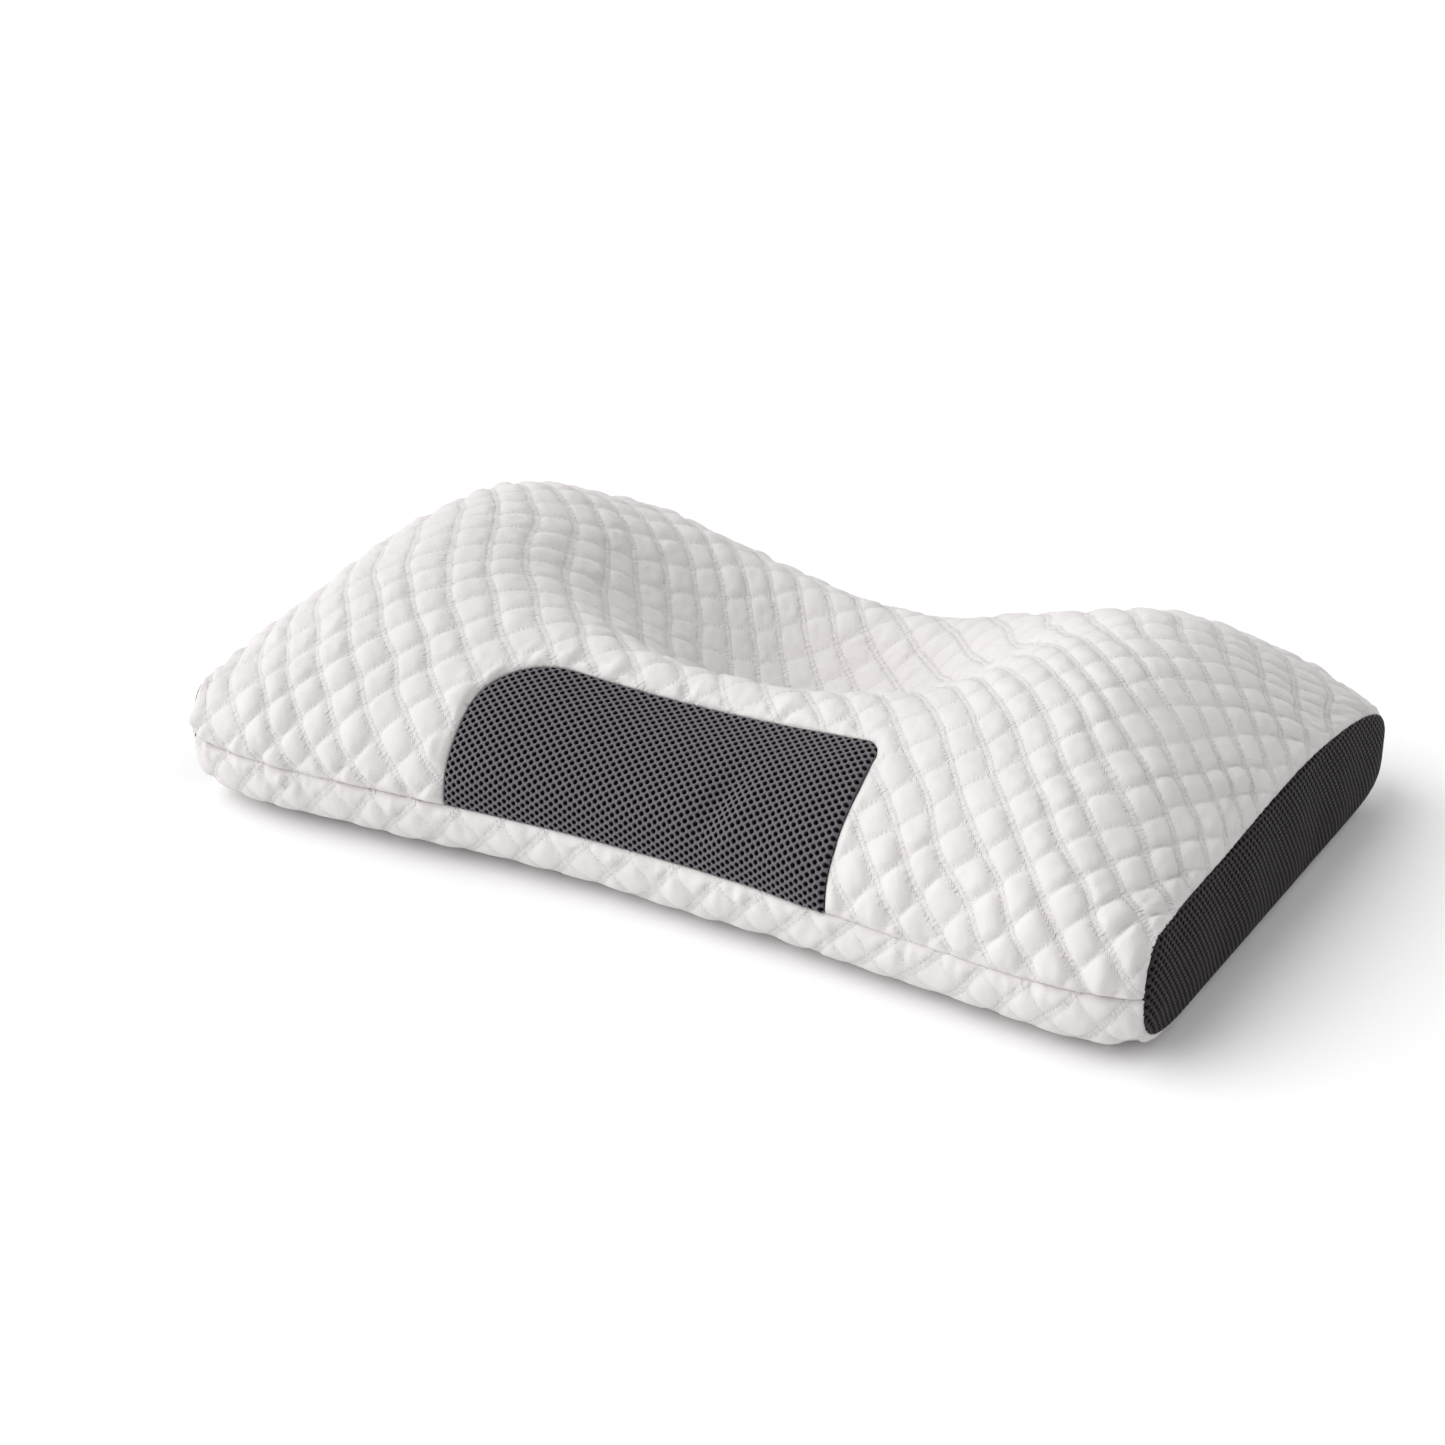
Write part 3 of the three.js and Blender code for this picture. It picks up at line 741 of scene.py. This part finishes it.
def simulate_puffs(points, faces, pinned, frames=14):
    """Blows the cloth between pinned points up with Blender's Cloth.

    Returns how far each point moved, in millimetres."""
    puffed = make_mesh("puffing", points, faces)
    group = puffed.vertex_groups.new(name="pinned")
    group.add(np.flatnonzero(pinned).tolist(), 1.0, "REPLACE")
    cloth = puffed.modifiers.new("cloth", "CLOTH")
    for key, value in PUFF_CLOTH.items():
        setattr(cloth.settings, key, value)
    cloth.settings.effector_weights.gravity = 0
    cloth.collision_settings.use_collision = False
    cloth.point_cache.frame_end = frames
    scene = bpy.context.scene
    for number in range(1, frames + 1):
        scene.frame_set(number)
    result = as_modified(puffed).data
    moved = np.empty(len(result.vertices) * 3, np.float32)
    result.vertices.foreach_get("co", moved)
    mesh = puffed.data
    bpy.data.objects.remove(puffed)
    bpy.data.meshes.remove(mesh)
    scene.frame_set(1)
    return moved.reshape(-1, 3) / METRES - points


def between(values):
    """Doubles a grid's fineness along its first axis, on a smooth curve through its values."""
    padded = np.concatenate([values[:1], values, values[-1:]])
    middle = (9 * (padded[1:-2] + padded[2:-1]) - padded[:-3] - padded[3:]) / 16
    fine = np.empty((2 * len(values) - 1, *values.shape[1:]))
    fine[::2], fine[1::2] = values, middle
    return fine


def sewn_cells(cloth, keep):
    """The simulated rise of every quilted cell, as vectors on the cloth's grid."""
    coarse = cloth.points[::2, ::2]
    a, b = (c[::2, ::2] for c in quilt_coordinates(cloth))
    room = keep[::2, ::2]
    on_line = np.minimum(from_line(a), from_line(b)) < PINNED_WIDTH
    pinned = (on_line | (room < HELD_EDGE)).ravel()
    quads = grid_quads(*room.shape, flipped=cloth.under)
    used = (room.ravel()[quads] > -SPARE_EDGE).all(axis=1)
    keep_points = np.unique(quads[used])
    place = np.full(room.size, -1)
    place[keep_points] = np.arange(len(keep_points))
    rest = coarse.reshape(-1, 3)[keep_points]
    moved = simulate_puffs(rest, place[quads[used]].tolist(), pinned[keep_points])
    length = np.linalg.norm(moved, axis=1, keepdims=True)
    moved *= np.minimum(1, LARGEST_RISE / np.maximum(length, 1e-9))
    grid = np.zeros((room.size, 3))
    grid[keep_points] = moved
    grid = grid.reshape(coarse.shape)
    inner = grid[1:-1, 1:-1]
    around = grid[:-2, 1:-1] + grid[2:, 1:-1] + grid[1:-1, :-2] + grid[1:-1, 2:]
    grid[1:-1, 1:-1] = 0.5 * inner + 0.125 * around
    grid = between(grid)
    return between(grid.swapaxes(0, 1)).swapaxes(0, 1)


FOLD_LINE = 10  # the stitch line that the fold follows, counted from the centre
EAR_FROM_END = 14
EAR_FROM_SEAM = 13


def corner_folds():
    """How deep the top cloth is drawn in near its front corners; negative where it bulges.

    A fold runs along a stitch line on the right, and both corners stand out like ears."""
    a, b = quilt_coordinates(top_cloth)
    along = smoothstep(b, 7.2, 8.4) * (1 - smoothstep(b, 10.2, 11))
    fold = 3.4 * bell((a - FOLD_LINE) * QUILT_SPACING, 3.2) * along
    from_end = HALF_WIDTH - np.abs(top_cloth.points[..., 0])
    ear = bell(from_end - EAR_FROM_END, 17) * bell(top_cloth.along - EAR_FROM_SEAM, 12)
    return fold - 3.5 * ear


def quilted_panel(name, cloth, keep, fullness, creased, seed, fold=0.0):
    """A quilted panel: its cells puffed, its edges rolled down and turned in.

    keep is the distance in from the panel's edges, fullness the cells' size, creased the
    depth of the narrow stitch lines and fold that of any fold, all on the cloth's grid."""
    a, b = quilt_coordinates(cloth)
    shape = keep.shape
    uneven = 1 + 0.2 * noise_like(shape, 8, seed)
    edge = smoothstep(keep, 0, 6)
    rise = (puff_shape(a, b, creased) * PUFF_HEIGHT)[..., None] * cloth.normals
    rise = EVEN_SHARE * rise + BLOWN_SHARE * sewn_cells(cloth, keep)
    rise = rise * (uneven * fullness * edge)[..., None]
    gathers = noise_like(shape, (1.6, 6), seed + 1) * bell(keep, 14) * 0.8
    ripple = noise_like(shape, 22, seed + 2) * 0.9 + gathers
    lift = (ripple - fold) * smoothstep(keep, 0, 3) - rolled(keep, depth=1.6, width=3.2)
    points = cloth.points + rise + lift[..., None] * cloth.normals
    points[..., 2] = np.maximum(points[..., 2], 0.05)  # just clear of the floor
    u, s = np.meshgrid(cloth.u, cloth.s, indexing="ij")
    rows = np.dstack([points, cloth.normals, u, s, a, b]).reshape(-1, 10)
    rows, faces = clip(rows, cloth.faces(), keep.ravel())
    rows, faces = compact(rows, faces)
    # At the ends the hem turns back under the panel, so that it can't show past the gusset
    at_end = np.abs(rows[:, 0]) > HALF_WIDTH - 0.6
    rows[at_end, 3:6] *= 0.5
    rows[at_end, 3] += 0.85 * np.sign(rows[at_end, 0])
    rows, faces = turn_in(rows, faces)
    return make_mesh(name, rows, faces, {"fabric": rows[:, 6:8], "quilt": rows[:, 8:10]})


def panel_keep(cloth, *others):
    """Distance in from the ends, the front seam and any other edges of a panel."""
    ends = HALF_WIDTH - np.abs(cloth.points[..., 0])
    return np.minimum.reduce([ends, cloth.along, *others])


# Cells stand fullest near the front edge and corners, and lie flatter on top
near_corner = smoothstep(np.abs(top_cloth.points[..., 0]), 150, 320)
top_fullness = 0.7 + 0.45 * bell(top_cloth.along, 110) * (0.6 + 0.4 * near_corner)
# Only the upright sides stay puffed; the underside is pressed flat by what it lies on
under_fullness = 0.7 * smoothstep(under_cloth.points[..., 2], 2, 22)

top_keep = panel_keep(
    top_cloth, beyond_neck_panel(top_cloth.points), above_zip(top_cloth.points, 1)
)
top_creased = 0.75 + 0.25 * bell(top_cloth.along, 90)
under_keep = panel_keep(under_cloth, above_zip(under_cloth.points, -1))
top_panel = quilted_panel(
    "quilted_top", top_cloth, top_keep, top_fullness, top_creased, seed=11, fold=corner_folds()
)
finish_piece(top_panel, "top_cover_panel", QUILTED)

under_panel = quilted_panel(
    "quilted_underside", under_cloth, under_keep, under_fullness, 1.0, seed=23
)
finish_piece(under_panel, "bottom_cover_panel", QUILTED)


# ---- Spacer mesh ----


def ring_quads(rings, count):
    """Quads from each ring of points to the next, with count points to a ring."""
    faces = []
    for ring in range(rings - 1):
        for k in range(count):
            a, b = count * ring + k, count * ring + (k + 1) % count
            faces.append([a, b, b + count, a + count])
    return faces


def net_template():
    """One cell of the net: a six-sided rim, a round hole and the hole's wall going in.

    Returns points (across, along, height, painted light share) and faces as indices into them."""
    half = MESH_PITCH / 2
    wide = (MESH_COLUMN**2 + half**2) / (2 * MESH_COLUMN)
    sides = [(wide, 0), (MESH_COLUMN - wide, half), (wide - MESH_COLUMN, half),
             (-wide, 0), (wide - MESH_COLUMN, -half), (MESH_COLUMN - wide, -half)]
    # The fourth value is the painted light share: 1 on the rim's crest, a painted highlight, down
    # to 0 on the hole's wall, painted shade
    rim = []
    high = 0.22
    for (ax, ay), (bx, by) in zip(sides, sides[1:] + sides[:1]):
        rim += [(ax, ay, high, 1.0), ((ax + bx) / 2, (ay + by) / 2, high, 0.75)]
    rings = [rim]
    for radius, height, painted_light in (
        (HOLE_RADIUS + 0.3, 0.06, 0.6),
        (HOLE_RADIUS, -0.35, 0.12),
        (HOLE_RADIUS - 0.1, -NET_THICKNESS, 0.0),
    ):
        ring = []
        for x, y, _, _ in rim:
            turn = math.atan2(y, x)
            reach = min(radius, 0.96 * math.hypot(x, y))
            ring.append((reach * math.cos(turn), reach * math.sin(turn), height, painted_light))
        rings.append(ring)
    points = np.array([point for ring in rings for point in ring])
    return points, ring_quads(len(rings), len(rim))


def net_over(low, high):
    """The net over a rectangle of fabric: points as in net_template, and quads."""
    points, faces = net_template()
    centres = []
    for i in range(int((high[0] - low[0]) / MESH_COLUMN) + 2):
        shift = MESH_PITCH / 2 * (i % 2)
        for j in range(int((high[1] - low[1]) / MESH_PITCH) + 2):
            centres.append((low[0] + i * MESH_COLUMN, low[1] + j * MESH_PITCH + shift))
    centres = np.array(centres)
    spread = np.repeat(points[None], len(centres), axis=0)
    spread[:, :, :2] += centres[:, None, :]
    rows = spread.reshape(-1, 4)
    quads = np.array(faces)[None] + (np.arange(len(centres)) * len(points))[:, None, None]
    key = np.round(rows[:, :3] / 0.02).astype(np.int64)
    _, first, place = np.unique(key, axis=0, return_index=True, return_inverse=True)
    return rows[first], place.ravel()[quads.reshape(-1, 4)]


def sheet_over(low, high, step, depth):
    """A plain sheet over a rectangle of fabric, depth below the net: rows and quads."""
    across = np.arange(low[0], high[0] + step, step)
    along = np.arange(low[1], high[1] + step, step)
    a, s = np.meshgrid(across, along, indexing="ij")
    # The sheet's painted light share is 0: it is painted near black, as shade under the net
    rows = np.column_stack([a.ravel(), s.ravel(), np.full(a.size, -depth), np.zeros(a.size)])
    return rows, grid_quads(len(across), len(along))


def spacer_mesh(name, low, high, lay):
    """A piece of spacer mesh: a net of round holes over a closed back sheet.

    lay(a, s) gives points, normals and the distance in from the outline."""
    parts = []
    for rows, quads in (net_over(low, high), sheet_over(low, high, 4.0, MESH_THICKNESS)):
        points, normals, keep = lay(rows[:, 0], rows[:, 1])
        height = (rows[:, 2] - rolled(keep, depth=2.2, width=4.5))[:, None]
        full = np.column_stack([points + normals * height, normals, rows[:, 3], rows[:, :2]])
        cut, faces = clip(full, quads, keep)
        parts.append(compact(cut, faces))
    net, net_faces = turn_in(*parts[0], depth=MESH_THICKNESS - 0.8)
    sheet, sheet_faces = parts[1]
    rows = np.vstack([net, sheet])
    faces = net_faces + [[p + len(net) for p in face] for face in sheet_faces]
    return make_mesh(name, rows, faces, {"fabric": rows[:, 7:9]}, {"painted_light": rows[:, 6]})


DENT_U, DENT_S = 50, 42  # the dent's middle, from the centre line and from the front seam


def lay_on_neck(a, s):
    """The neck panel: it swells a little, stands proud at its right edge and has one dent."""
    points = top_cloth.sample(top_cloth.form, a, s)
    normals = top_cloth.sample(top_cloth.form_normals, a, s)
    keep = np.minimum(-beyond_neck_panel(points) - 0.4, s - 0.2)
    across = a - DENT_U - 0.25 * (s - DENT_S)
    hollow = 3.6 * bell(across, 9)
    ridge = 1.8 * bell(across - 19, 10)
    dent = (hollow - ridge) * bell(s - DENT_S, 27)
    proud = 2.6 * smoothstep(a, 70, 128) * (1 - 0.8 * smoothstep(s, 75, 110))
    swell = 3.2 * smoothstep(keep, 0, 30) + proud
    return points + normals * (swell - dent)[:, None], normals, keep


neck_reach, neck_length = PANEL_HALF_WIDTH + 5, 128  # a little more cloth than it needs
neck_panel = spacer_mesh(
    "neck_mesh_cloth", (-neck_reach, 0), (neck_reach, neck_length), lay_on_neck
)
finish_piece(neck_panel, "neck_mesh_panel", NECK_MESH)


def gusset(name, side, inset=0.5):
    """An end gusset: spacer mesh set just inside the cover's edges and bulging a little."""
    line = section(HALF_WIDTH)[::6, 1:]
    ahead = unit(np.roll(line, -1, axis=0) - np.roll(line, 1, axis=0))
    outline = line + inset * np.column_stack([ahead[:, 1], -ahead[:, 0]])
    low, high = outline.min(axis=0), outline.max(axis=0)
    bulge, rim = 4.0, HALF_WIDTH + 0.6

    def lay(z, s):
        y = -side * s
        keep = inside_outline(np.column_stack([y, z]), outline)
        swell = bulge * np.sqrt(smoothstep(keep, -1, 30))
        wave = np.sin(y / 17 + side) * np.sin(y / 41) * smoothstep(keep, 0, 12)
        points = np.column_stack([side * (rim + swell + wave), y, z])
        lean = 0.45 * (z - (low[1] + high[1]) / 2) / (high[1] - low[1])
        normals = unit(np.column_stack([np.full(len(z), side), np.zeros(len(z)), lean]))
        return points, normals, keep

    first, last = sorted([-side * low[0], -side * high[0]])
    obj = spacer_mesh(name + "_gusset_cloth", (low[1], first), (high[1], last), lay)
    finish_piece(obj, name + "_mesh_gusset", GUSSET_MESH)


gusset("left", -1)
gusset("right", 1)


# ---- Zip ----


def zip_tape(node):
    """A flat tape facing +Y, a little lower along both edges."""
    low, high = cad_corners(node)
    xs = np.arange(low[0], high[0] + 1.5, 3.0)
    zs = np.linspace(low[2], high[2], 9)
    x, z = np.meshgrid(xs, zs, indexing="ij")
    edge = np.minimum(z - low[2], high[2] - z)
    y = high[1] - 0.25 * (1 - np.clip(edge / 0.8, 0, 1)) ** 2
    rows = np.dstack([x, y, z]).reshape(-1, 3)
    quads = grid_quads(len(xs), len(zs), flipped=True)
    obj = make_mesh(node + "_cloth", rows, quads.tolist(), {"fabric": rows[:, [0, 2]]})
    thicken(obj, high[1] - low[1])
    finish_piece(obj, node, TAPE_CLOTH)


def tube(points, radius, sides=6):
    """A closed tube of round section along points: rows and faces."""
    points = np.asarray(points, float)
    ahead = unit(np.gradient(points, axis=0))
    across = unit(np.cross(ahead, np.array([1.0, 0.2, 0.1])))
    other = np.cross(ahead, across)
    turns = np.arange(sides) * 2 * math.pi / sides
    rings = points[:, None] + radius * (
        np.cos(turns)[None, :, None] * across[:, None]
        + np.sin(turns)[None, :, None] * other[:, None]
    )
    faces = ring_quads(len(points), sides)
    faces.append(list(range(sides))[::-1])
    faces.append([(len(points) - 1) * sides + k for k in range(sides)])
    return rings.reshape(-1, 3), faces


COIL_PITCH = 1.5
COIL_OVERLAP = 1.3  # how far a spiral reaches past its CAD strip, to mesh with the other
COIL_INSET = 0.35
WIRE_RADIUS = 0.33


def zip_coil(node, side):
    """One of the zip's two spirals of nylon, meshed with the other along the middle."""
    low, high = cad_corners(node)
    turns = int((high[0] - low[0] - 2) / COIL_PITCH)
    t = np.linspace(0, turns, turns * 10 + 1)
    angle = 2 * math.pi * t
    phase = 0.0 if side > 0 else COIL_PITCH / 2
    half_width = (high[2] - low[2] + COIL_OVERLAP) / 2 - COIL_INSET
    inner = ZIP_HEIGHT - side * 0.15
    z = inner + side * (half_width + COIL_INSET - half_width * np.cos(angle))
    y = (low[1] + high[1]) / 2 + 0.8 * np.sin(angle)
    x = low[0] + 0.6 + phase + COIL_PITCH * t + 0.25 * np.sin(2 * angle)
    rows, faces = tube(np.column_stack([x, y, z]), WIRE_RADIUS)
    obj = make_mesh(node + "_spiral", rows, faces)
    finish_piece(obj, node, NYLON)


def welded(mesh):
    """A mesh opened for editing, its points joined where they meet."""
    shape = bmesh.new()
    shape.from_mesh(mesh)
    bmesh.ops.remove_doubles(shape, verts=shape.verts, dist=1e-6)
    return shape


def rounded_copy(node, name, width, body="pillow"):
    """A CAD node with its edges rounded by width millimetres."""
    obj = cad_copy(node, name)
    shape = welded(obj.data)
    bmesh.ops.dissolve_limit(
        shape, angle_limit=math.radians(1), verts=shape.verts, edges=shape.edges
    )
    shape.to_mesh(obj.data)
    shape.free()
    shade_smooth(obj.data)
    bevel = obj.modifiers.new("round", "BEVEL")
    bevel.width = width * METRES
    bevel.segments = 3
    bevel.limit_method = "ANGLE"
    bevel.angle_limit = math.radians(40)
    bevel.harden_normals = True
    finish_piece(obj, node, NICKEL, body)


for zip_half, zip_side in (("zip_upper", 1), ("zip_lower", -1)):
    zip_tape(zip_half + "_tape")
    zip_coil(zip_half + "_coil", zip_side)
for stop in ("zip_upper_top_stop", "zip_lower_top_stop", "zip_bottom_stop"):
    rounded_copy(stop, stop + "_clip", 0.5)
rounded_copy("zip_slider_body", "zip_slider", 0.25, "slider")
rounded_copy("zip_pull_tab", "zip_pull", 0.3, "pull")


# ---- Inside ----


def inner_case(name, cloth, node, inset=4.6):
    """Half of the thin inner case, laid inside the cover."""
    normals = cloth.normals[::4, ::4]
    coarse = cloth.points[::4, ::4] - inset * normals
    wrinkle = 0.35 * noise_like(coarse.shape[:2], 3, 31)
    coarse = coarse + wrinkle[..., None] * normals
    ends = HALF_WIDTH - 7 - np.abs(coarse[..., 0])
    side = -1 if cloth.under else 1
    level = side * (coarse[..., 2] - SEAM_HEIGHT)
    at_back = coarse[..., 1] > 120
    keep = np.minimum(ends, np.where(at_back, level, FAR)).ravel()
    u, s = np.meshgrid(cloth.u[::4], cloth.s[::4], indexing="ij")
    rows = np.dstack([coarse, u, s]).reshape(-1, 5)
    quads = grid_quads(*coarse.shape[:2], flipped=cloth.under)
    rows, faces = compact(*clip(rows, quads, keep))
    obj = make_mesh(name, rows, faces, {"fabric": rows[:, 3:5]})
    thicken(obj, 0.6)
    finish_piece(obj, node, CASE_CLOTH)
    return obj


case_top = inner_case("case_top_cloth", top_cloth, "inner_case_top")
case_under = inner_case("case_under_cloth", under_cloth, "inner_case_bottom")


def softened(node, name, voxel=6.0, lumps=2.0):
    """A CAD block remade as loose fibre: remeshed, smoothed and made uneven."""
    obj = cad_copy(node, name)
    remesh = obj.modifiers.new("remesh", "REMESH")
    remesh.mode = "VOXEL"
    remesh.voxel_size = voxel * METRES
    smooth = obj.modifiers.new("smooth", "SMOOTH")
    smooth.factor = 0.6
    smooth.iterations = 8
    cloud = bpy.data.textures.new(name + "_lumps", "CLOUDS")
    cloud.noise_scale = 0.03
    push = obj.modifiers.new("lumps", "DISPLACE")
    push.texture = cloud
    push.strength = -lumps * METRES
    push.mid_level = 0.0
    mesh = bpy.data.meshes.new_from_object(as_modified(obj))
    obj.modifiers.clear()
    obj.data = mesh
    shade_smooth(mesh)
    finish_piece(obj, node, FIBRE)
    return obj


for chamber in ("left_side", "right_side", "neck_roll", "head_hollow", "crown_roll"):
    fibre = softened(chamber + "_fill", chamber + "_fibre")


BAFFLE_SLACK = 0.8


def baffle_cloth(node, name):
    """A baffle: the CAD wall with a fine grid and a slack wave across it."""
    low, high = cad_corners(node)
    obj = cad_copy(node, name)
    shape = welded(obj.data)
    bmesh.ops.subdivide_edges(shape, edges=shape.edges, cuts=3, use_grid_fill=True)
    layer = shape.loops.layers.uv.new("fabric")
    thin = int(np.argmin(high - low))
    along = 1 - thin
    for v in shape.verts:
        wave = math.sin(v.co[along] * 40) * math.sin(v.co[2] * 60)
        v.co[thin] += BAFFLE_SLACK * METRES * wave
    for face in shape.faces:
        for loop in face.loops:
            loop[layer].uv = (loop.vert.co[along] / METRES, loop.vert.co[2] / METRES)
    shape.to_mesh(obj.data)
    shape.free()
    finish_piece(obj, node, CASE_CLOTH)


for baffle in ("left", "right", "neck", "crown"):
    baffle_cloth(baffle + "_baffle", baffle + "_baffle_cloth")


# ---- Camera, light and floor ----


def direction(azimuth, elevation):
    """From the pillow towards a place, in degrees; from azimuth 0 one looks along +Y."""
    turn, tilt = math.radians(azimuth), math.radians(elevation)
    return Vector((math.sin(turn) * math.cos(tilt), -math.cos(turn) * math.cos(tilt),
                   math.sin(tilt)))


def add_camera(azimuth=30.4, elevation=25.5, distance=1.926, lens=74.7, aside=-0.0426, up=0.0026):
    """aside and up move the aim in the picture's plane."""
    back = direction(azimuth, elevation)
    right = direction(azimuth + 90, 0)
    above = back.cross(right)
    aim = Vector((0, 0, 0.05)) + right * aside + above * up
    data = bpy.data.cameras.new("camera")
    data.lens = lens
    data.dof.use_dof = False
    camera = add_object("camera", data)
    camera.location = aim + back * distance
    camera.rotation_mode = "QUATERNION"
    camera.rotation_quaternion = (-back).to_track_quat("-Z", "Y")
    bpy.context.scene.camera = camera


def add_floor(half=60e3):
    """A plain floor, half millimetres from its middle to each edge."""
    corners = [(-half, -half, 0), (half, -half, 0), (half, half, 0), (-half, half, 0)]
    floor = make_mesh("floor", corners, [(0, 1, 2, 3)])
    n = Nodes("studio_floor")
    n.set(color=rgb(0.97, 0.97, 0.97), roughness=0.9, specular=0.0)
    floor.data.materials.append(n.material)


def add_sun(name, azimuth, elevation, strength, softness):
    """A sun whose light comes from azimuth and elevation; softness is its width in degrees."""
    data = bpy.data.lights.new(name, "SUN")
    data.energy = strength
    data.angle = math.radians(softness)
    sun = add_object(name, data)
    sun.rotation_mode = "QUATERNION"
    sun.rotation_quaternion = direction(azimuth, elevation).to_track_quat("Z", "Y")


def add_world(overhead, horizon):
    """A pale room, brighter low down where its walls are lit."""
    world = bpy.data.worlds.new("studio")
    world.use_nodes = True
    tree = world.node_tree
    towards = add_node(tree, "ShaderNodeTexCoord").outputs["Generated"]
    height = add_node(tree, "ShaderNodeSeparateXYZ", {0: towards}).outputs["Z"]
    strength = add_ramp(tree, height, 0.02, 0.3, horizon, overhead)
    background = tree.nodes["Background"]
    feed(tree, background.inputs["Color"], rgb(1.0, 1.0, 1.0))
    feed(tree, background.inputs["Strength"], strength)
    bpy.context.scene.world = world


add_camera()
add_floor()
add_world(overhead=0.33, horizon=1.0)
add_sun("key", azimuth=-50, elevation=42, strength=2.65, softness=70)
add_sun("back", azimuth=180, elevation=50, strength=0.85, softness=90)
bpy.context.scene.view_settings.view_transform = "Standard"
